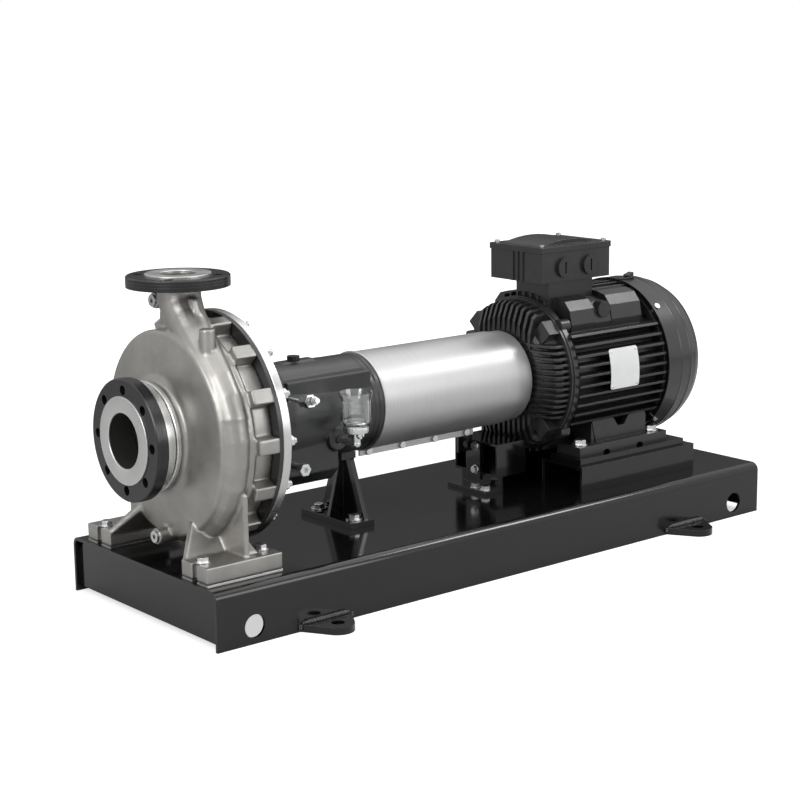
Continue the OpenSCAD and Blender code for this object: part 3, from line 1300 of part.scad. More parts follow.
// Slotted blanking plugs in the two cable entries
module cable_plugs() {
  color("#2b2d2f") for (x = entry_x)
    translate([x, box_y - box_w / 2, box_z + box_h / 2 - 2]) rotate([90, 0, 0]) difference() {
      union() {
        cylinder(r = 20, h = 7);
        translate([0, 0, -12]) cylinder(r = 18, h = 13);
      }
      translate([-2, -12, 4]) cube([4, 24, 4]);
    }
}

base_frame();
base_end_plates();
anchor_lugs();
pump_shims();
motor_rails();
motor_pads();
guard_stand();
volute_casing();
suction_flange();
discharge_flange();
casing_wear_ring();
casing_plugs();
casing_cover();
cover_studs();
adapter_ring();
pump_foot_bolts();
impeller();
impeller_nut();
pump_shaft();
shaft_sleeve();
seal_head();
seal_seat();
seal_cover();
bearing_bracket();
bracket_bolts();
front_bearing_cover();
rear_bearing_cover();
pump_bearing_outers();
pump_bearing_inners();
vent_plug();
flush_fitting();
leak_plug();
oiler_elbow();
oiler_ring();
oiler_bottle();
support_foot();
support_bolts();
pump_hub();
motor_hub();
coupling_spacer();
disc_packs();
coupling_bolts();
guard_tube();
guard_sleeve();
guard_bolts();
motor_frame();
drive_shield();
fan_shield();
stator_core();
stator_windings();
motor_rotor();
motor_bearing_outers();
motor_bearing_inners();
motor_fan();
fan_cover();
motor_screws();
motor_foot_bolts();
terminal_box();
terminal_lid();
cable_plugs();
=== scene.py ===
# Horizontal centrifugal pump set with motor, on a folded steel base.
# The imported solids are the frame. This script lights them, gives every part its
# finish and adds the detail that the solids leave out.
import bpy
import bmesh
import math
import random
from mathutils import Matrix, Vector


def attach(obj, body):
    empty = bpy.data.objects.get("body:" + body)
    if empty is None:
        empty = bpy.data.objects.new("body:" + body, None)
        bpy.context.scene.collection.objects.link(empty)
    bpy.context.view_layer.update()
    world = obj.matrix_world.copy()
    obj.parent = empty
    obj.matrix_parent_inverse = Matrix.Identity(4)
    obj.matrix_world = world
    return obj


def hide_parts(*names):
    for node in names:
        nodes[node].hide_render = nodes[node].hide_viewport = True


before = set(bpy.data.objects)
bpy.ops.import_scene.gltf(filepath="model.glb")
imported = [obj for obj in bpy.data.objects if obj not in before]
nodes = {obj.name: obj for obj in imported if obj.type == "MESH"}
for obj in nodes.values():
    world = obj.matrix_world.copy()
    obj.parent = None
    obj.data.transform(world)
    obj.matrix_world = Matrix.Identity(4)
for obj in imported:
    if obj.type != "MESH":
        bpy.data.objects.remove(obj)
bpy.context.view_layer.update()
shaft_z = 0.333
suction_seat_x = -0.722
discharge_x = -0.6
discharge_seat_z = 0.615
lug_x = 0.47
lug_weld_y = 0.2412
lug_weld_half = 0.053
bracket_foot_x = -0.26
foot_nut_level = 0.0862
stud_count = 15
stud_circle = 0.198

# Camera: the lens and the stand point of the photograph, solved from the set's
# own straight edges and flange circles, with no shift and no depth of field.
camera_data = bpy.data.cameras.new("photo_camera")
camera_data.sensor_width = 36.0
camera_data.lens = 82.72
camera_data.clip_end = 60.0
camera = bpy.data.objects.new("photo_camera", camera_data)
bpy.context.scene.collection.objects.link(camera)
camera_right = Vector((0.77232, -0.63513, -0.01175))
camera_up = Vector((0.13644, 0.14779, 0.97956))
camera_back = Vector((-0.62041, -0.75813, 0.20079))
camera_pose = Matrix((camera_right, camera_up, camera_back)).transposed().to_4x4()
camera_pose.translation = Vector((-2.3347, -2.7328, 1.0430))
camera.matrix_world = camera_pose
bpy.context.scene.camera = camera
bpy.context.scene.view_settings.view_transform = "Standard"


# Light: a white studio with one very wide soft box overhead, a box on each side
# of the stand point, and a small key that draws the bright line on bent edges.
def soft_box(name, place, target, size, power):
    data = bpy.data.lights.new(name, "AREA")
    data.shape = "RECTANGLE"
    data.size, data.size_y = size
    data.energy = power
    lamp = bpy.data.objects.new(name, data)
    bpy.context.scene.collection.objects.link(lamp)
    lamp.location = place
    lamp.rotation_euler = (Vector(target) - Vector(place)).to_track_quat("-Z", "Y").to_euler()


soft_box("overhead_box", (0.0, -0.1, 3.0), (0.0, 0.0, 0.3), (4.6, 3.6), 46)
soft_box("left_box", (-3.3, -0.9, 1.9), (-0.5, 0.0, 0.35), (1.5, 1.8), 46)
soft_box("front_box", (0.9, -3.3, 1.5), (0.1, 0.0, 0.3), (2.2, 1.5), 30)
soft_box("edge_key", (2.3, -1.2, 2.6), (0.1, -0.2, 0.2), (0.8, 0.8), 20)


def node_in(tree, kind, **settings):
    made = tree.nodes.new(kind)
    for key, value in settings.items():
        setattr(made, key, value)
    return made


def wire(tree, *pairs):
    for source, target in pairs:
        tree.links.new(source, target)


# Room: white to the camera and through glass. Gloss sees white walls and a
# white ceiling, except low behind the set, where the studio stays dim.
world = bpy.data.worlds.new("studio")
bpy.context.scene.world = world
world.use_nodes = True
sky = world.node_tree
room = sky.nodes["Background"]
room.inputs["Color"].default_value = (1, 1, 1, 1)
sky_place = node_in(sky, "ShaderNodeTexCoord")
sky_dim = node_in(sky, "ShaderNodeVectorMath", operation="DOT_PRODUCT")
sky_dim.inputs[1].default_value = (0.62, 0.76, -0.4)
sky_walls = node_in(sky, "ShaderNodeMapRange")
sky_walls.inputs["From Min"].default_value = 0.38
sky_walls.inputs["From Max"].default_value = 0.86
sky_walls.inputs["To Min"].default_value = 0.9
sky_walls.inputs["To Max"].default_value = 0.1
sky_rays = node_in(sky, "ShaderNodeLightPath")
sky_gloss = node_in(sky, "ShaderNodeMix", data_type="FLOAT")
sky_gloss.inputs["A"].default_value = 0.24
sky_seen = node_in(sky, "ShaderNodeMath", operation="MAXIMUM")
sky_white = node_in(sky, "ShaderNodeMix", data_type="FLOAT")
sky_white.inputs["B"].default_value = 1.0
wire(sky, (sky_place.outputs["Generated"], sky_dim.inputs[0]),
     (sky_dim.outputs["Value"], sky_walls.inputs["Value"]),
     (sky_rays.outputs["Is Glossy Ray"], sky_gloss.inputs["Factor"]),
     (sky_walls.outputs["Result"], sky_gloss.inputs["B"]),
     (sky_rays.outputs["Is Camera Ray"], sky_seen.inputs[0]),
     (sky_rays.outputs["Is Transmission Ray"], sky_seen.inputs[1]),
     (sky_seen.outputs[0], sky_white.inputs["Factor"]), (sky_gloss.outputs["Result"], sky_white.inputs["A"]),
     (sky_white.outputs["Result"], room.inputs["Strength"]))

# Floor: the white sweep that the set stands on. It runs to pure white away from
# the set, and keeps a soft shadow along the base's lower edge.
floor_mesh = bpy.data.meshes.new("studio_floor")
floor_mesh.from_pydata([(8 * math.cos(k * math.pi / 32), 8 * math.sin(k * math.pi / 32), 0)
                        for k in range(64)], [], [tuple(range(64))])
floor = bpy.data.objects.new("studio_floor", floor_mesh)
bpy.context.scene.collection.objects.link(floor)
floor_white = bpy.data.materials.new("floor_white")
floor_white.use_nodes = True
floor_tree = floor_white.node_tree
floor_surface = floor_tree.nodes["Principled BSDF"]
floor_surface.inputs["Base Color"].default_value = (0.8, 0.8, 0.8, 1)
floor_surface.inputs["Roughness"].default_value = 0.9
floor_surface.inputs["Specular IOR Level"].default_value = 0.1
floor_surface.inputs["Emission Color"].default_value = (1, 1, 1, 1)
floor_rays = node_in(floor_tree, "ShaderNodeLightPath")
floor_seen = node_in(floor_tree, "ShaderNodeMath", operation="MAXIMUM")
floor_place = node_in(floor_tree, "ShaderNodeTexCoord")
floor_reach = node_in(floor_tree, "ShaderNodeVectorMath", operation="LENGTH")
floor_fade = node_in(floor_tree, "ShaderNodeMapRange")
floor_fade.inputs["From Min"].default_value = 0.9
floor_fade.inputs["From Max"].default_value = 2.4
floor_fade.inputs["To Min"].default_value = 0.62
floor_fade.inputs["To Max"].default_value = 1.0
floor_glow = node_in(floor_tree, "ShaderNodeMath", operation="MULTIPLY")
wire(floor_tree, (floor_rays.outputs["Is Camera Ray"], floor_seen.inputs[0]),
     (floor_rays.outputs["Is Transmission Ray"], floor_seen.inputs[1]),
     (floor_place.outputs["Object"], floor_reach.inputs[0]),
     (floor_reach.outputs["Value"], floor_fade.inputs["Value"]),
     (floor_seen.outputs[0], floor_glow.inputs[0]), (floor_fade.outputs["Result"], floor_glow.inputs[1]),
     (floor_glow.outputs[0], floor_surface.inputs["Emission Strength"]))
floor_mesh.materials.append(floor_white)


# Base: 6 mm steel sheet bent over into a tray, with side plates, recessed end
# plates and anchor tongues welded on, all in glossy black powder coat.
def group_input(group, name, kind, value):
    socket = group.interface.new_socket(name, in_out="INPUT", socket_type=kind)
    socket.default_value = value
    return socket


def group_output(group, name, kind):
    return group.interface.new_socket(name, in_out="OUTPUT", socket_type=kind)


# paint_skin: the slow waves and fine peel of sprayed or powder paint
paint_skin = bpy.data.node_groups.new("paint_skin", "ShaderNodeTree")
group_input(paint_skin, "Peel Size", "NodeSocketFloat", 420.0)
group_input(paint_skin, "Wave Share", "NodeSocketFloat", 0.5)
group_output(paint_skin, "Height", "NodeSocketFloat")
group_output(paint_skin, "Cloud", "NodeSocketFloat")
peel_in = node_in(paint_skin, "NodeGroupInput")
peel_out = node_in(paint_skin, "NodeGroupOutput")
peel_place = node_in(paint_skin, "ShaderNodeTexCoord")
peel = node_in(paint_skin, "ShaderNodeTexNoise")
peel.inputs["Detail"].default_value = 3
wave = node_in(paint_skin, "ShaderNodeTexNoise")
wave.inputs["Scale"].default_value = 28
cloud = node_in(paint_skin, "ShaderNodeTexNoise")
cloud.inputs["Scale"].default_value = 7
cloud.inputs["Detail"].default_value = 6
peel_mix = node_in(paint_skin, "ShaderNodeMix", data_type="FLOAT")
wire(paint_skin,
     (peel_place.outputs["Object"], peel.inputs["Vector"]),
     (peel_place.outputs["Object"], wave.inputs["Vector"]),
     (peel_place.outputs["Object"], cloud.inputs["Vector"]),
     (peel_in.outputs["Peel Size"], peel.inputs["Scale"]),
     (peel_in.outputs["Wave Share"], peel_mix.inputs["Factor"]),
     (peel.outputs["Fac"], peel_mix.inputs["A"]),
     (wave.outputs["Fac"], peel_mix.inputs["B"]),
     (peel_mix.outputs["Result"], peel_out.inputs["Height"]),
     (cloud.outputs["Fac"], peel_out.inputs["Cloud"]))

# rounded_edge: the small radius of real edges, and a mask where they are rubbed
rounded_edge = bpy.data.node_groups.new("rounded_edge", "ShaderNodeTree")
group_input(rounded_edge, "Radius", "NodeSocketFloat", 0.002)
group_input(rounded_edge, "Rub", "NodeSocketFloat", 0.5)
group_output(rounded_edge, "Normal", "NodeSocketVector")
group_output(rounded_edge, "Rubbed", "NodeSocketFloat")
edge_in = node_in(rounded_edge, "NodeGroupInput")
edge_out = node_in(rounded_edge, "NodeGroupOutput")
edge_bevel = node_in(rounded_edge, "ShaderNodeBevel", samples=4)
edge_flat = node_in(rounded_edge, "ShaderNodeNewGeometry")
edge_dot = node_in(rounded_edge, "ShaderNodeVectorMath", operation="DOT_PRODUCT")
edge_ramp = node_in(rounded_edge, "ShaderNodeMapRange")
edge_ramp.inputs["From Min"].default_value = 0.998
edge_ramp.inputs["From Max"].default_value = 0.9
edge_place = node_in(rounded_edge, "ShaderNodeTexCoord")
edge_noise = node_in(rounded_edge, "ShaderNodeTexNoise")
edge_noise.inputs["Scale"].default_value = 60
edge_noise.inputs["Detail"].default_value = 5
edge_break = node_in(rounded_edge, "ShaderNodeMapRange")
edge_break.inputs["From Min"].default_value = 0.42
edge_break.inputs["From Max"].default_value = 0.62
edge_mask = node_in(rounded_edge, "ShaderNodeMath", operation="MULTIPLY")
edge_share = node_in(rounded_edge, "ShaderNodeMath", operation="MULTIPLY")
wire(rounded_edge,
     (edge_in.outputs["Radius"], edge_bevel.inputs["Radius"]),
     (edge_bevel.outputs["Normal"], edge_out.inputs["Normal"]),
     (edge_bevel.outputs["Normal"], edge_dot.inputs[0]),
     (edge_flat.outputs["Normal"], edge_dot.inputs[1]),
     (edge_dot.outputs["Value"], edge_ramp.inputs["Value"]),
     (edge_place.outputs["Object"], edge_noise.inputs["Vector"]),
     (edge_noise.outputs["Fac"], edge_break.inputs["Value"]),
     (edge_ramp.outputs["Result"], edge_mask.inputs[0]),
     (edge_break.outputs["Result"], edge_mask.inputs[1]),
     (edge_mask.outputs[0], edge_share.inputs[0]),
     (edge_in.outputs["Rub"], edge_share.inputs[1]),
     (edge_share.outputs[0], edge_out.inputs["Rubbed"]))

# settled_dust: a thin grey veil on faces that look up, patchy as dust lies
settled_dust = bpy.data.node_groups.new("settled_dust", "ShaderNodeTree")
group_input(settled_dust, "Amount", "NodeSocketFloat", 0.2)
group_output(settled_dust, "Veil", "NodeSocketFloat")
dust_in = node_in(settled_dust, "NodeGroupInput")
dust_out = node_in(settled_dust, "NodeGroupOutput")
dust_face = node_in(settled_dust, "ShaderNodeNewGeometry")
dust_split = node_in(settled_dust, "ShaderNodeSeparateXYZ")
dust_up = node_in(settled_dust, "ShaderNodeMapRange")
dust_up.inputs["From Min"].default_value = 0.5
dust_up.inputs["From Max"].default_value = 1.0
dust_place = node_in(settled_dust, "ShaderNodeTexCoord")
dust_patch = node_in(settled_dust, "ShaderNodeTexNoise")
dust_patch.inputs["Scale"].default_value = 38
dust_patch.inputs["Detail"].default_value = 9
dust_patch.inputs["Roughness"].default_value = 0.7
dust_reach = node_in(settled_dust, "ShaderNodeMapRange")
dust_reach.inputs["From Min"].default_value = 0.4
dust_reach.inputs["From Max"].default_value = 0.72
dust_lie = node_in(settled_dust, "ShaderNodeMath", operation="MULTIPLY")
dust_share = node_in(settled_dust, "ShaderNodeMath", operation="MULTIPLY")
wire(settled_dust,
     (dust_face.outputs["Normal"], dust_split.inputs[0]), (dust_split.outputs["Z"], dust_up.inputs["Value"]),
     (dust_place.outputs["Object"], dust_patch.inputs["Vector"]),
     (dust_patch.outputs["Fac"], dust_reach.inputs["Value"]),
     (dust_up.outputs["Result"], dust_lie.inputs[0]), (dust_reach.outputs["Result"], dust_lie.inputs[1]),
     (dust_lie.outputs[0], dust_share.inputs[0]), (dust_in.outputs["Amount"], dust_share.inputs[1]),
     (dust_share.outputs[0], dust_out.inputs["Veil"]))


def placed(tree, group, **values):
    made = tree.nodes.new("ShaderNodeGroup")
    made.node_tree = group
    for key, value in values.items():
        made.inputs[key.replace("_", " ")].default_value = value
    return made


def blank_finish(name, metallic=0.0, specular=0.5, coat=0.0, coat_roughness=0.1):
    finish = bpy.data.materials.new(name)
    finish.use_nodes = True
    surface = finish.node_tree.nodes["Principled BSDF"]
    surface.inputs["Metallic"].default_value = metallic
    surface.inputs["Specular IOR Level"].default_value = specular
    surface.inputs["Coat Weight"].default_value = coat
    surface.inputs["Coat Roughness"].default_value = coat_roughness
    return finish, finish.node_tree, surface


def two_tone(tree, mask, low, high, target):
    mix = node_in(tree, "ShaderNodeMix", data_type="RGBA")
    mix.inputs["A"].default_value = (*low, 1)
    mix.inputs["B"].default_value = (*high, 1)
    wire(tree, (mask, mix.inputs["Factor"]), (mix.outputs["Result"], target))
    return mix


def laid_over(tree, mask, below, tone, target):
    mix = node_in(tree, "ShaderNodeMix", data_type="RGBA")
    mix.inputs["B"].default_value = (*tone, 1)
    wire(tree, (mask, mix.inputs["Factor"]), (below, mix.inputs["A"]), (mix.outputs["Result"], target))
    return mix


def span(tree, value, low, high, target, start=0.0, end=1.0):
    reach = node_in(tree, "ShaderNodeMapRange")
    reach.inputs["From Min"].default_value = start
    reach.inputs["From Max"].default_value = end
    reach.inputs["To Min"].default_value = low
    reach.inputs["To Max"].default_value = high
    wire(tree, (value, reach.inputs["Value"]), (reach.outputs["Result"], target))


def raised(tree, height, depth, surface, base_normal=None):
    bump = node_in(tree, "ShaderNodeBump")
    bump.inputs["Strength"].default_value = 1.0
    bump.inputs["Distance"].default_value = depth
    wire(tree, (height, bump.inputs["Height"]), (bump.outputs["Normal"], surface.inputs["Normal"]))
    if base_normal is not None:
        wire(tree, (base_normal, bump.inputs["Normal"]))


def dress(finish, *names):
    for name in names:
        nodes[name].material_slots[0].material = finish


def paint(name, colour, worn, roughness, depth, radius, rub, coat=0.0, peel=420.0, wave_share=0.5,
          dust=0.0, specular=0.5):
    finish, tree, surface = blank_finish(name, coat=coat, coat_roughness=0.08, specular=specular)
    skin = placed(tree, paint_skin, Peel_Size=peel, Wave_Share=wave_share)
    edge = placed(tree, rounded_edge, Radius=radius, Rub=rub)
    veil = placed(tree, settled_dust, Amount=dust)
    shade = two_tone(tree, skin.outputs["Cloud"], [c * 0.8 for c in colour], [c * 1.25 for c in colour],
                     surface.inputs["Base Color"])
    wear = laid_over(tree, edge.outputs["Rubbed"], shade.outputs["Result"], worn,
                     surface.inputs["Base Color"])
    laid_over(tree, veil.outputs["Veil"], wear.outputs["Result"], (0.2, 0.2, 0.195),
              surface.inputs["Base Color"])
    span(tree, skin.outputs["Cloud"], roughness[0], roughness[1], surface.inputs["Roughness"], 0.3, 0.7)
    raised(tree, skin.outputs["Height"], depth, surface, edge.outputs["Normal"])
    return finish


base_coat = paint("base_coat", (0.004, 0.0042, 0.0047), (0.06, 0.06, 0.062), (0.1, 0.17), 0.00006, 0.0018,
                  0.25, coat=0.35, peel=300.0, dust=0.015, specular=0.38)
dress(base_coat, "base_frame", "base_end_plates", "anchor_lugs", "motor_rails", "motor_pads",
      "guard_stand", "support_foot")


def made_piece(name, work, finish, body, sharp=None):
    bmesh.ops.recalc_face_normals(work, faces=work.faces)
    mesh = bpy.data.meshes.new(name)
    work.to_mesh(mesh)
    work.free()
    mesh.materials.append(finish)
    for face in mesh.polygons:
        face.use_smooth = True
    if sharp is not None:
        mesh.set_sharp_from_angle(angle=math.radians(sharp))
    piece = bpy.data.objects.new(name, mesh)
    bpy.context.scene.collection.objects.link(piece)
    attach(piece, body)
    return piece


def weld_bead(work, start, end, radius, seed):
    """A hand-laid run of weld: scalloped along its length, never quite even."""
    start, end = Vector(start), Vector(end)
    along = (end - start).normalized()
    side = along.cross(Vector((0, 0, 1))) if abs(along.z) < 0.9 else Vector((1, 0, 0))
    side.normalize()
    up = side.cross(along)
    chance = random.Random(seed)
    steps = max(8, int((end - start).length / 0.0011))
    rows = []
    lean = 0.0
    for step in range(steps + 1):
        share = step / steps
        lean += chance.uniform(-0.00012, 0.00012)
        lean *= 0.95
        scallop = 1 + 0.32 * abs(math.sin(math.pi * step / 6.0)) + chance.uniform(-0.08, 0.08)
        taper = min(1.0, 0.35 + 6 * min(share, 1 - share))
        row = []
        for k in range(12):
            angle = 2 * math.pi * k / 12
            reach = radius * scallop * taper
            row.append(work.verts.new(start.lerp(end, share) + side * (math.cos(angle) * reach + lean)
                                      + up * math.sin(angle) * reach * 0.8))
        rows.append(row)
    for here, there in zip(rows, rows[1:]):
        for k in range(12):
            work.faces.new((here[k], here[(k + 1) % 12], there[(k + 1) % 12], there[k]))
    work.faces.new(rows[0])
    work.faces.new(rows[-1])


weld_coat = paint("weld_coat", (0.006, 0.0062, 0.0068), (0.06, 0.06, 0.062), (0.16, 0.26), 0.00015, 0.0003,
                  0.0, coat=0.4, peel=700.0)
base_welds = bmesh.new()
for turn, (sx, sy) in enumerate([(-1, -1), (-1, 1), (1, -1), (1, 1)]):
    lug = lug_x * sx
    edge = lug_weld_y * sy
    weld_bead(base_welds, (lug - lug_weld_half, edge, 0.0152), (lug + lug_weld_half, edge, 0.0152),
              0.0062, 10 + turn)
    for end in (-1, 1):
        weld_bead(base_welds, (lug + end * 0.0562, edge, 0.0035), (lug + end * 0.0562, edge, 0.014),
                  0.0044, 20 + turn * 2 + end)
for sy in (-1, 1):
    weld_bead(base_welds, (-0.2345, 0.064 * sy, 0.1185), (-0.2345, 0.006 * sy, 0.1185), 0.0026, 60 + sy)
    weld_bead(base_welds, (-0.2455, 0.064 * sy, 0.1185), (-0.2455, 0.012 * sy, 0.1185), 0.0026, 64 + sy)
made_piece("base_welds", base_welds, weld_coat, "set")

# Casing: one stainless sand casting, blasted and pickled to a satin warm grey. It
# is remeshed from its solid so that its corners run into the fillets of a mould.
cast_skin = bpy.data.node_groups.new("cast_skin", "ShaderNodeTree")
group_input(cast_skin, "Grain Size", "NodeSocketFloat", 700.0)
group_output(cast_skin, "Height", "NodeSocketFloat")
group_output(cast_skin, "Blotch", "NodeSocketFloat")
grain_in = node_in(cast_skin, "NodeGroupInput")
grain_out = node_in(cast_skin, "NodeGroupOutput")
grain_place = node_in(cast_skin, "ShaderNodeTexCoord")
grain = node_in(cast_skin, "ShaderNodeTexNoise")
grain.inputs["Detail"].default_value = 4
grain.inputs["Roughness"].default_value = 0.62
swell = node_in(cast_skin, "ShaderNodeTexNoise")
swell.inputs["Scale"].default_value = 45
swell.inputs["Detail"].default_value = 3
blotch = node_in(cast_skin, "ShaderNodeTexNoise")
blotch.inputs["Scale"].default_value = 13
blotch.inputs["Detail"].default_value = 8
blotch.inputs["Roughness"].default_value = 0.66
grain_mix = node_in(cast_skin, "ShaderNodeMix", data_type="FLOAT")
grain_mix.inputs["Factor"].default_value = 0.6
wire(cast_skin,
     (grain_place.outputs["Object"], grain.inputs["Vector"]),
     (grain_place.outputs["Object"], swell.inputs["Vector"]),
     (grain_place.outputs["Object"], blotch.inputs["Vector"]),
     (grain_in.outputs["Grain Size"], grain.inputs["Scale"]),
     (grain.outputs["Fac"], grain_mix.inputs["A"]),
     (swell.outputs["Fac"], grain_mix.inputs["B"]),
     (grain_mix.outputs["Result"], grain_out.inputs["Height"]),
     (blotch.outputs["Fac"], grain_out.inputs["Blotch"]))


def casting(name, dark, light, worn, roughness, depth, metallic, radius, rub, grain_size=700.0, coat=0.0,
            dust=0.0):
    finish, tree, surface = blank_finish(name, metallic=metallic, coat=coat, coat_roughness=0.2)
    skin = placed(tree, cast_skin, Grain_Size=grain_size)
    edge = placed(tree, rounded_edge, Radius=radius, Rub=rub)
    veil = placed(tree, settled_dust, Amount=dust)
    shade = node_in(tree, "ShaderNodeMix", data_type="RGBA")
    shade.inputs["A"].default_value = (*dark, 1)
    shade.inputs["B"].default_value = (*light, 1)
    span(tree, skin.outputs["Blotch"], 0.0, 1.0, shade.inputs["Factor"], 0.3, 0.7)
    wear = laid_over(tree, edge.outputs["Rubbed"], shade.outputs["Result"], worn,
                     surface.inputs["Base Color"])
    laid_over(tree, veil.outputs["Veil"], wear.outputs["Result"], (0.22, 0.215, 0.21),
              surface.inputs["Base Color"])
    span(tree, skin.outputs["Blotch"], roughness[0], roughness[1], surface.inputs["Roughness"], 0.3, 0.7)
    raised(tree, skin.outputs["Height"], depth, surface, edge.outputs["Normal"])
    return finish


stainless_cast = casting("stainless_cast", (0.29, 0.282, 0.268), (0.4, 0.39, 0.372), (0.64, 0.63, 0.61),
                         (0.3, 0.42), 0.0005, 0.8, 0.002, 0.5, grain_size=520.0)


def recast(node, name, body, voxel, rounds, finish):
    piece = nodes[node].copy()
    piece.data = nodes[node].data.copy()
    piece.name = name
    piece.data.name = name
    piece.parent = None
    piece.matrix_world = Matrix.Identity(4)
    for key in list(piece.keys()):
        del piece[key]
    bpy.context.scene.collection.objects.link(piece)
    welded = bmesh.new()
    welded.from_mesh(piece.data)
    bmesh.ops.remove_doubles(welded, verts=welded.verts, dist=0.00001)
    welded.to_mesh(piece.data)
    welded.free()
    remesh = piece.modifiers.new("cast_skin", "REMESH")
    remesh.mode = "VOXEL"
    remesh.voxel_size = voxel
    remesh.use_smooth_shade = True
    smooth = piece.modifiers.new("fillets", "SMOOTH")
    smooth.factor = 0.5
    smooth.iterations = rounds
    ready = piece.evaluated_get(bpy.context.evaluated_depsgraph_get())
    shaped = bpy.data.meshes.new_from_object(ready)
    piece.modifiers.clear()
    piece.data = shaped
    shaped.materials.clear()
    shaped.materials.append(finish)
    for face in shaped.polygons:
        face.use_smooth = True
    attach(piece, body)
    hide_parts(node)
    return piece


casing_casting = recast("volute_casing", "casing_casting", "set", 0.0025, 4, stainless_cast)

# Machined faces: lathe work on the casing. The raised faces, the bores and the
# register collar behind the front flange show fine rings and bow-tie light.
turning_marks = bpy.data.node_groups.new("turning_marks", "ShaderNodeTree")
group_input(turning_marks, "Centre", "NodeSocketVector", (0, 0, shaft_z))
group_input(turning_marks, "Across", "NodeSocketVector", (0, 1, 1))
group_input(turning_marks, "Rings", "NodeSocketFloat", 900.0)
group_output(turning_marks, "Height", "NodeSocketFloat")
group_output(turning_marks, "Streak", "NodeSocketFloat")
turn_in = node_in(turning_marks, "NodeGroupInput")
turn_out = node_in(turning_marks, "NodeGroupOutput")
turn_place = node_in(turning_marks, "ShaderNodeTexCoord")
turn_off = node_in(turning_marks, "ShaderNodeVectorMath", operation="SUBTRACT")
turn_flat = node_in(turning_marks, "ShaderNodeVectorMath", operation="MULTIPLY")
turn_radius = node_in(turning_marks, "ShaderNodeVectorMath", operation="LENGTH")
turn_along = node_in(turning_marks, "ShaderNodeVectorMath", operation="SUBTRACT")
turn_length = node_in(turning_marks, "ShaderNodeVectorMath", operation="LENGTH")
turn_sum = node_in(turning_marks, "ShaderNodeMath", operation="ADD")
turn_scale = node_in(turning_marks, "ShaderNodeMath", operation="MULTIPLY")
turn_noise = node_in(turning_marks, "ShaderNodeTexNoise", noise_dimensions="1D")
turn_noise.inputs["Scale"].default_value = 1.0
turn_noise.inputs["Detail"].default_value = 4
turn_streak = node_in(turning_marks, "ShaderNodeTexNoise")
turn_streak.inputs["Scale"].default_value = 24
turn_streak.inputs["Detail"].default_value = 4
wire(turning_marks,
     (turn_place.outputs["Object"], turn_off.inputs[0]), (turn_in.outputs["Centre"], turn_off.inputs[1]),
     (turn_off.outputs[0], turn_flat.inputs[0]), (turn_in.outputs["Across"], turn_flat.inputs[1]),
     (turn_flat.outputs[0], turn_radius.inputs[0]),
     (turn_off.outputs[0], turn_along.inputs[0]), (turn_flat.outputs[0], turn_along.inputs[1]),
     (turn_along.outputs[0], turn_length.inputs[0]),
     (turn_radius.outputs["Value"], turn_sum.inputs[0]), (turn_length.outputs["Value"], turn_sum.inputs[1]),
     (turn_sum.outputs[0], turn_scale.inputs[0]), (turn_in.outputs["Rings"], turn_scale.inputs[1]),
     (turn_scale.outputs[0], turn_noise.inputs["W"]),
     (turn_noise.outputs["Fac"], turn_out.inputs["Height"]),
     (turn_place.outputs["Object"], turn_streak.inputs["Vector"]),
     (turn_streak.outputs["Fac"], turn_out.inputs["Streak"]))


def turned_metal(name, dark, light, roughness, depth=0.00003, across=(0, 1, 1), centre=(0, 0, shaft_z),
                 rings=900.0, metallic=1.0):
    finish, tree, surface = blank_finish(name, metallic=metallic)
    marks = placed(tree, turning_marks, Centre=centre, Across=across, Rings=rings)
    edge = placed(tree, rounded_edge, Radius=0.0008, Rub=0.0)
    two_tone(tree, marks.outputs["Height"], dark, light, surface.inputs["Base Color"])
    span(tree, marks.outputs["Streak"], roughness[0], roughness[1], surface.inputs["Roughness"], 0.3, 0.7)
    raised(tree, marks.outputs["Height"], depth, surface, edge.outputs["Normal"])
    return finish


def turned(work, profile, centre, axis, steps=128):
    """A closed profile of (radius, along) points turned round an axis through centre."""
    along = Vector(axis).normalized()
    side = Vector((0, 1, 0)) if abs(along.y) < 0.9 else Vector((1, 0, 0))
    side = (side - along * side.dot(along)).normalized()
    up = along.cross(side)
    rows = []
    for reach, run in profile:
        middle = Vector(centre) + along * run
        if reach < 1e-7:
            rows.append([work.verts.new(middle)] * steps)
        else:
            turns = [2 * math.pi * s / steps for s in range(steps)]
            rows.append([work.verts.new(middle + (side * math.cos(turn) + up * math.sin(turn)) * reach)
                         for turn in turns])
    for i in range(len(profile)):
        here, there = rows[i], rows[(i + 1) % len(profile)]
        for s in range(steps):
            corners = []
            for corner in (here[s], here[(s + 1) % steps], there[(s + 1) % steps], there[s]):
                if corner not in corners:
                    corners.append(corner)
            if len(corners) > 2:
                work.faces.new(corners)


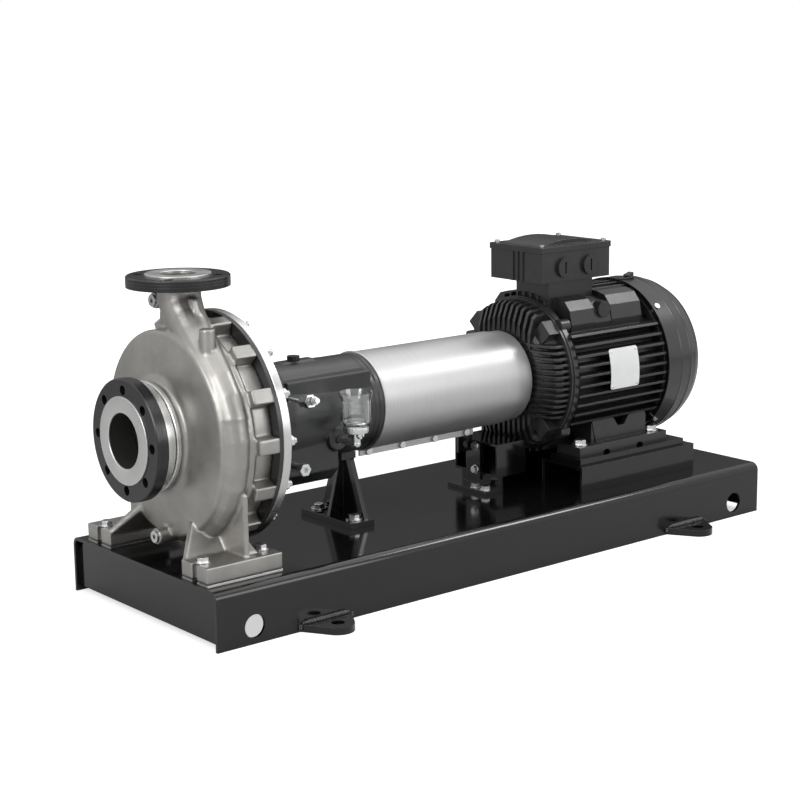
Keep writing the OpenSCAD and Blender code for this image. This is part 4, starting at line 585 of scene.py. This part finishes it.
turned_steel = turned_metal("turned_steel", (0.5, 0.5, 0.49), (0.72, 0.72, 0.71), (0.2, 0.34))
face_steel = turned_metal("face_steel", (0.5, 0.5, 0.49), (0.78, 0.78, 0.77), (0.3, 0.42), 0.00004,
                          rings=1400.0)
suction_face = bmesh.new()
turned(suction_face,
       [(0.0498, 0.0006), (0.0506, -0.0002), (0.0512, -0.0004), (0.0786, -0.0004), (0.0792, 0.0002),
        (0.0792, 0.0026), (0.0498, 0.0026)],
       (-0.7246, 0, shaft_z), (1, 0, 0), 160)
made_piece("suction_face_ring", suction_face, face_steel, "set", 25)
discharge_steel = turned_metal("discharge_steel", (0.5, 0.5, 0.49), (0.78, 0.78, 0.77), (0.3, 0.42), 0.00004,
                               across=(1, 1, 0), centre=(discharge_x, 0, 0.6), rings=1400.0)
discharge_face = bmesh.new()
turned(discharge_face,
       [(0.0323, -0.0006), (0.033, 0.0002), (0.0336, 0.0004), (0.0586, 0.0004), (0.0592, -0.0002),
        (0.0592, -0.0026), (0.0323, -0.0026)],
       (discharge_x, 0, 0.6176), (0, 0, 1), 160)
made_piece("discharge_face_ring", discharge_face, discharge_steel, "set", 25)

# The collar is turned smooth to locate the loose flange. The ring behind it is
# the step where the lathe tool ran out against the cast disc.
polished_steel = turned_metal("polished_steel", (0.74, 0.74, 0.73), (0.88, 0.88, 0.87), (0.2, 0.32),
                              0.00003, rings=1800.0)
collar = bmesh.new()
turned(collar,
       [(0.0905, -0.699), (0.0955, -0.699), (0.0966, -0.6979), (0.0966, -0.6776), (0.0955, -0.6765),
        (0.0905, -0.6765)],
       (0, 0, shaft_z), (1, 0, 0), 200)
turned(collar,
       [(0.0915, -0.6757), (0.0988, -0.6757), (0.0997, -0.6748), (0.0997, -0.6692), (0.0915, -0.6692)],
       (0, 0, shaft_z), (1, 0, 0), 200)
made_piece("register_collar", collar, polished_steel, "set", 25)
# Suction bore: a thin liner whose near-black colour is painted shade for the inside of the bore, with fine
# turned rings in its bump.
bore_skin = turned_metal("bore_skin", (0.02, 0.0195, 0.019), (0.035, 0.034, 0.033), (0.5, 0.65), 0.0001,
                         rings=300.0, metallic=0.2)
bores = bmesh.new()
turned(bores, [(0.0507, -0.7238), (0.0501, -0.7238), (0.0501, -0.671), (0.0507, -0.671)], (0, 0, shaft_z),
       (1, 0, 0), 128)
made_piece("suction_bore_painted_shade", bores, bore_skin, "set", 25)
for vertex in casing_casting.data.vertices:
    place = vertex.co
    reach = math.hypot(place.y, place.z - shaft_z)
    if place.x < -0.7236:
        place.x = -0.7236
    if place.z > 0.6166:
        place.z = 0.6166
    if place.x < -0.672 and 0.04 < reach < 0.0506:
        place.y *= 0.0506 / reach
        place.z = shaft_z + (place.z - shaft_z) * 0.0506 / reach
    if -0.7005 < place.x < -0.668 and 0.0925 < reach < 0.101:
        place.y *= 0.0925 / reach
        place.z = shaft_z + (place.z - shaft_z) * 0.0925 / reach
dress(turned_steel, "adapter_ring", "pump_shaft", "shaft_sleeve", "seal_head", "seal_cover", "motor_rotor",
      "pump_hub", "motor_hub", "coupling_spacer")

# Black castings: loose flanges, casing cover, bearing bracket and motor are grey
# iron under a semi-gloss black enamel that leaves the sand texture showing.
black_iron = casting("black_iron", (0.013, 0.0133, 0.014), (0.02, 0.0204, 0.0215), (0.075, 0.075, 0.077),
                     (0.26, 0.38), 0.0002, 0.0, 0.0022, 0.16, grain_size=420.0, coat=0.2, dust=0.04)
dress(black_iron, "casing_cover", "front_bearing_cover", "rear_bearing_cover",
      "motor_frame", "drive_shield", "fan_shield", "terminal_box", "terminal_lid")
bracket_casting = recast("bearing_bracket", "bracket_casting", "set", 0.0022, 3, black_iron)
flange_iron = casting("flange_iron", (0.006, 0.0062, 0.0067), (0.01, 0.0103, 0.011), (0.1, 0.1, 0.102),
                      (0.22, 0.34), 0.00015, 0.0, 0.0014, 0.35, grain_size=600.0, coat=0.1, dust=0.02)
dress(flange_iron, "suction_flange", "discharge_flange")
flange_grooves = bmesh.new()
for place, axis, reach in (((suction_seat_x, 0, shaft_z), (1, 0, 0), 0.11),
                           ((discharge_x, 0, discharge_seat_z), (0, 0, -1), 0.0925)):
    root, shoulder, crest = reach - 0.002, reach + 0.00005, reach + 0.0003
    for run in (0.0075, 0.0125):
        turned(flange_grooves, [(root, run - 0.0006), (shoulder, run - 0.0006), (crest, run - 0.0002),
                                (crest, run + 0.0002), (shoulder, run + 0.0006), (root, run + 0.0006)],
               place, axis, 160)
made_piece("flange_rim_lines", flange_grooves, flange_iron, "set", 40)

# Impeller: a closed investment casting in the same stainless, left as cast between its turned rims.
# Its colour and its nut's are darker than the casing's as painted shade, deep in the bore.
impeller_cast = casting("impeller_cast", (0.16, 0.155, 0.148), (0.24, 0.234, 0.225), (0.4, 0.39, 0.38),
                        (0.4, 0.55), 0.0002, 0.6, 0.001, 0.3, grain_size=900.0)
dress(impeller_cast, "impeller", "impeller_nut")
bronze = turned_metal("bronze", (0.42, 0.25, 0.1), (0.62, 0.4, 0.18), (0.25, 0.38))
dress(bronze, "casing_wear_ring")
bearing_steel = turned_metal("bearing_steel", (0.55, 0.55, 0.56), (0.75, 0.75, 0.76), (0.1, 0.2), 0.00001,
                             rings=2500.0)
dress(bearing_steel, "pump_bearing_outers", "pump_bearing_inners", "motor_bearing_outers",
      "motor_bearing_inners", "disc_packs")
seal_carbon = paint("seal_carbon", (0.02, 0.02, 0.021), (0.05, 0.05, 0.05), (0.35, 0.5), 0.00003, 0.0005,
                    0.0, peel=900.0)
dress(seal_carbon, "seal_seat")

# Fasteners: hexagon bolts, nuts, studs and plugs in bright zinc, with forged
# faces, rolled threads and a faint cloudiness from the bath.
zinc, zinc_tree, zinc_surface = blank_finish("bright_zinc", metallic=1.0)
zinc_skin = placed(zinc_tree, paint_skin, Peel_Size=900.0, Wave_Share=0.3)
zinc_edge = placed(zinc_tree, rounded_edge, Radius=0.0006, Rub=0.0)
two_tone(zinc_tree, zinc_skin.outputs["Cloud"], (0.5, 0.51, 0.53), (0.8, 0.8, 0.79),
         zinc_surface.inputs["Base Color"])
span(zinc_tree, zinc_skin.outputs["Cloud"], 0.18, 0.36, zinc_surface.inputs["Roughness"], 0.3, 0.7)
raised(zinc_tree, zinc_skin.outputs["Height"], 0.00006, zinc_surface, zinc_edge.outputs["Normal"])
dress(zinc, "bracket_bolts", "casing_plugs", "coupling_bolts", "guard_bolts",
      "motor_screws", "flush_fitting", "leak_plug", "oiler_elbow", "oiler_ring", "pump_shims")


def hexagon(work, centre, axis, flats, height, both=False, steps=72):
    """A forged hexagon, its corners cut back by the turned chamfer, on one face or both."""
    along = Vector(axis).normalized()
    side = Vector((0, 1, 0)) if abs(along.y) < 0.9 else Vector((1, 0, 0))
    up = along.cross(side)
    crown = 0.475 * flats
    rings = [[], [], [], []]
    for s in range(steps):
        angle = 2 * math.pi * s / steps
        reach = (flats / 2) / math.cos((angle + math.pi / 6) % (math.pi / 3) - math.pi / 6)
        drop = (reach - crown) * 0.577
        out = side * math.cos(angle) + up * math.sin(angle)
        lower = [(crown, 0), (reach, drop)] if both else [(reach, 0), (reach, 0.00001)]
        for ring, (r, a) in zip(rings, lower + [(reach, height - drop), (crown, height)]):
            ring.append(work.verts.new(Vector(centre) + out * r + along * a))
    for here, there in zip(rings, rings[1:]):
        for s in range(steps):
            work.faces.new((here[s], here[(s + 1) % steps], there[(s + 1) % steps], there[s]))
    work.faces.new(rings[0])
    work.faces.new(rings[-1])


def threaded(work, centre, axis, reach, start, end, pitch=0.00175):
    """A rod whose last stretch carries rolled thread ridges and a chamfered end."""
    rows = [(0, start), (reach, start)]
    run = start
    while run + pitch < end - 0.001:
        rows += [(reach * 0.87, run + pitch * 0.35), (reach, run + pitch * 0.85)]
        run += pitch
    rows += [(reach * 0.87, end - 0.0008), (reach * 0.7, end), (0, end)]
    turned(work, rows, centre, axis, 36)


def washer(work, centre, axis, outer, inner, thick):
    turned(work, [(inner, 0), (outer - 0.0003, 0), (outer, 0.0003), (outer, thick - 0.0003),
                  (outer - 0.0003, thick), (inner, thick)],
           centre, axis, 72)


def floor_bolts(name, node, places, seat, size, foot, wide=1.14):
    work = bmesh.new()
    for x, y in places:
        washer(work, (x, y, seat), (0, 0, 1), wide * size, 0.53 * size, 0.2 * size)
        hexagon(work, (x, y, seat + 0.2 * size), (0, 0, 1), 1.55 * size, 0.64 * size)
        hexagon(work, (x, y, foot + 0.004), (0, 0, 1), 1.55 * size, 0.8 * size, both=True)
        threaded(work, (x, y, seat), (0, 0, -1), 0.49 * size, 0.0, seat - foot, 0.002)
    piece = made_piece(name, work, zinc, "set", 30)
    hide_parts(node)


floor_bolts("pump_foot_bolt_set", "pump_foot_bolts",
            [(x, y) for x in (-0.672, -0.55) for y in (-0.16, 0.16)], 0.138, 0.012, foot_nut_level)
floor_bolts("support_bolt_set", "support_bolts", [(bracket_foot_x, -0.055), (bracket_foot_x, 0.055)],
            0.118, 0.012, foot_nut_level, 1.35)
floor_bolts("motor_foot_bolt_set", "motor_foot_bolts",
            [(x, y) for x in (0.272, 0.482) for y in (-0.127, 0.127)], 0.193, 0.014, 0.1402)
studs = bmesh.new()
for stud in range(stud_count):
    angle = math.radians(360 // stud_count * stud)
    y, z = -stud_circle * math.cos(angle), shaft_z + stud_circle * math.sin(angle)
    threaded(studs, (0, y, z), (1, 0, 0), 0.0058, -0.5638, -0.4962, 0.00175)
    hexagon(studs, (-0.5139, y, z), (1, 0, 0), 0.018, 0.0101, both=True)
stud_set = made_piece("cover_stud_set", studs, zinc, "set", 30)
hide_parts("cover_studs")
stand_nuts = bmesh.new()
for z in (0.15, 0.199):
    washer(stand_nuts, (0.0921, -0.008, z), (-1, 0, 0), 0.0092, 0.003, 0.0012)
    hexagon(stand_nuts, (0.0912, -0.008, z), (-1, 0, 0), 0.0136, 0.0066, both=True)
for y in (-0.042, -0.012):
    washer(stand_nuts, (0.088, y, 0.1138), (0, 0, 1), 0.0112, 0.004, 0.0016)
    hexagon(stand_nuts, (0.088, y, 0.1152), (0, 0, 1), 0.0166, 0.0072)
made_piece("stand_nut_set", stand_nuts, zinc, "set", 30)

# Coupling guard: bright stainless sheet rolled into a tube. The mill's brushing
# runs round it, and handling leaves soft clouds in the shine.
brushed, brushed_tree, brushed_surface = blank_finish("brushed_sheet", metallic=0.75)
brush_place = node_in(brushed_tree, "ShaderNodeTexCoord")
brush_stretch = node_in(brushed_tree, "ShaderNodeMapping")
brush_stretch.inputs["Scale"].default_value = (900.0, 14.0, 14.0)
brush_lines = node_in(brushed_tree, "ShaderNodeTexNoise")
brush_lines.inputs["Scale"].default_value = 1.0
brush_lines.inputs["Detail"].default_value = 5
brush_cloud = node_in(brushed_tree, "ShaderNodeTexNoise")
brush_cloud.inputs["Scale"].default_value = 9.0
wire(brushed_tree,
     (brush_place.outputs["Object"], brush_stretch.inputs["Vector"]),
     (brush_stretch.outputs["Vector"], brush_lines.inputs["Vector"]),
     (brush_place.outputs["Object"], brush_cloud.inputs["Vector"]))
two_tone(brushed_tree, brush_lines.outputs["Fac"], (0.46, 0.46, 0.46), (0.58, 0.58, 0.58),
         brushed_surface.inputs["Base Color"])
span(brushed_tree, brush_cloud.outputs["Fac"], 0.36, 0.46, brushed_surface.inputs["Roughness"], 0.3, 0.7)
raised(brushed_tree, brush_lines.outputs["Fac"], 0.00003, brushed_surface)
dress(brushed, "guard_tube", "guard_sleeve")

# Motor inside: varnished copper windings in a stack of dull electrical sheet.
lamination = turned_metal("lamination", (0.2, 0.2, 0.21), (0.32, 0.32, 0.33), (0.4, 0.55), 0.0001,
                          rings=2200.0)
dress(lamination, "stator_core")
copper = casting("varnished_copper", (0.22, 0.07, 0.025), (0.4, 0.14, 0.05), (0.5, 0.2, 0.08), (0.25, 0.4),
                 0.0006, 0.4, 0.001, 0.2, grain_size=260.0, coat=0.3)
dress(copper, "stator_windings")

# Nameplate: a blank of white-lacquered aluminium with rounded corners, bent to
# the fin tips and held by four drive rivets. It is bare.
plate_white = paint("plate_white", (0.86, 0.865, 0.87), (0.5, 0.5, 0.5), (0.3, 0.42), 0.00003, 0.0006, 0.5,
                    coat=0.2, peel=900.0, wave_share=0.8)
plate = bmesh.new()
plate_mid, plate_half = (0.361, 0.348), (0.041, 0.041)
plate_reach = 0.1671
rows = [[], []]
for level, lift in enumerate((0.0, 0.0011)):
    for j in range(21):
        line = []
        for i in range(21):
            across, high = plate_half[0] * (i / 10 - 1), plate_half[1] * (j / 10 - 1)
            past_x, past_z = abs(across) - (plate_half[0] - 0.005), abs(high) - (plate_half[1] - 0.005)
            if past_x > 0 and past_z > 0:
                pull = max(past_x, past_z) / math.hypot(past_x, past_z)
                across = math.copysign(plate_half[0] - 0.005 + past_x * pull, across)
                high = math.copysign(plate_half[1] - 0.005 + past_z * pull, high)
            turn = math.asin((plate_mid[1] + high - shaft_z) / plate_reach)
            reach = plate_reach + lift
            line.append(plate.verts.new((plate_mid[0] + across, -reach * math.cos(turn),
                                         shaft_z + reach * math.sin(turn))))
        rows[level].append(line)
for j in range(20):
    for i in range(20):
        for level in (0, 1):
            plate.faces.new((rows[level][j][i], rows[level][j][i + 1], rows[level][j + 1][i + 1],
                             rows[level][j + 1][i]))
rim = ([(0, i) for i in range(20)] + [(j, 20) for j in range(20)]
       + [(20, 20 - i) for i in range(20)] + [(20 - j, 0) for j in range(20)])
for k in range(80):
    (j0, i0), (j1, i1) = rim[k], rim[(k + 1) % 80]
    plate.faces.new((rows[0][j0][i0], rows[0][j1][i1], rows[1][j1][i1], rows[1][j0][i0]))
made_piece("bare_nameplate", plate, plate_white, "set", 35)
rivets = bmesh.new()
for sx in (-1, 1):
    for sz in (-1, 1):
        z = plate_mid[1] + sz * 0.035
        turn = math.asin((z - shaft_z) / plate_reach)
        out = Vector((0, -math.cos(turn), math.sin(turn)))
        turned(rivets,
               [(0, -0.003), (0.0012, -0.003), (0.0012, 0.0), (0.0026, 0.0), (0.0025, 0.0006),
                (0.0018, 0.0012), (0.0009, 0.0015), (0, 0.0016)],
               Vector((plate_mid[0] + sx * 0.035, 0, shaft_z)) + out * (plate_reach + 0.0011), out, 32)
made_piece("nameplate_rivets", rivets, zinc, "set", 40)

# Plastics: moulded black nylon for the filler plug, the blanking plugs and the
# motor's fan.
nylon = paint("black_nylon", (0.012, 0.012, 0.013), (0.05, 0.05, 0.05), (0.38, 0.52), 0.00006, 0.0008, 0.1,
              peel=1200.0, wave_share=0.2)
dress(nylon, "vent_plug", "cable_plugs", "motor_fan")

# Fan cover: a pressed steel cowl, sprayed smoother and glossier than the
# castings, with two pressed stiffening beads and a spring clip on its edge.
cowl_black = paint("cowl_black", (0.022, 0.0224, 0.0235), (0.09, 0.09, 0.092), (0.26, 0.34), 0.00006,
                   0.0012, 0.12, coat=0.25, peel=500.0)
dress(cowl_black, "fan_cover")
cowl_beads = bmesh.new()
turned(cowl_beads,
       [(0.1692, 0.5265), (0.1709, 0.5275), (0.1714, 0.5290), (0.1718, 0.5310), (0.1714, 0.5330),
        (0.1703, 0.5350), (0.1690, 0.5360)],
       (0, 0, shaft_z), (1, 0, 0), 200)
turned(cowl_beads,
       [(0.1664, 0.5560), (0.1682, 0.5570), (0.1687, 0.5590), (0.1689, 0.5605), (0.1681, 0.5630),
        (0.1665, 0.5655), (0.1650, 0.5665)],
       (0, 0, shaft_z), (1, 0, 0), 200)
made_piece("cowl_beads", cowl_beads, cowl_black, "set", 60)
clip = bmesh.new()
for x0, x1, y0, y1, z0, z1 in ((0.49, 0.53, -0.030, -0.010, 0.5025, 0.5075),
                               (0.512, 0.530, -0.028, -0.012, 0.507, 0.516)):
    made = bmesh.ops.create_cube(clip, size=1.0,
                                 matrix=Matrix.Translation(((x0 + x1) / 2, (y0 + y1) / 2, (z0 + z1) / 2))
                                 @ Matrix.Diagonal((x1 - x0, y1 - y0, z1 - z0, 1)))
    for vertex in made["verts"]:
        if vertex.co.z > (z0 + z1) / 2 and vertex.co.x < (x0 + x1) / 2:
            vertex.co.z -= 0.6 * (z1 - z0)
bmesh.ops.bevel(clip, geom=clip.edges[:], offset=0.0012, segments=2, affect="EDGES")
made_piece("cowl_clip", clip, cowl_black, "set", 30)

# Oiler: a clear moulded bottle with thin, slightly wavy walls and a flared rim,
# screwed into a knurled bright ring.
clear, clear_tree, clear_surface = blank_finish("clear_bottle", specular=0.8, coat=0.8, coat_roughness=0.03)
clear_surface.inputs["Base Color"].default_value = (0.97, 0.98, 0.985, 1)
clear_surface.inputs["Transmission Weight"].default_value = 1.0
clear_surface.inputs["IOR"].default_value = 1.45
clear_skin = placed(clear_tree, paint_skin, Peel_Size=120.0, Wave_Share=0.6)
span(clear_tree, clear_skin.outputs["Cloud"], 0.02, 0.08, clear_surface.inputs["Roughness"], 0.3, 0.7)
raised(clear_tree, clear_skin.outputs["Height"], 0.0002, clear_surface)
dress(clear, "oiler_bottle")
oiler_middle = Vector((-0.323, -0.147, 0.0))
knurl = bmesh.new()
knurl_rows = []
for run, lift in ((0.3135, 0.0), (0.3142, 0.0005), (0.3232, 0.0005), (0.3238, 0.0)):
    row = []
    for s in range(192):
        angle = 2 * math.pi * s / 192
        reach = 0.02305 + (lift if s % 4 < 2 else 0.0)
        row.append(knurl.verts.new(oiler_middle
                                   + Vector((math.cos(angle) * reach, math.sin(angle) * reach, run))))
    knurl_rows.append(row)
inner = [[knurl.verts.new(oiler_middle
                          + Vector((math.cos(2 * math.pi * s / 192) * 0.0226,
                                    math.sin(2 * math.pi * s / 192) * 0.0226, run)))
          for s in range(192)] for run in (0.3238, 0.3135)]
for here, there in zip(knurl_rows + inner, (knurl_rows + inner)[1:] + [knurl_rows[0]]):
    for s in range(192):
        knurl.faces.new((here[s], here[(s + 1) % 192], there[(s + 1) % 192], there[s]))
made_piece("oiler_knurl", knurl, zinc, "oiler", 30)
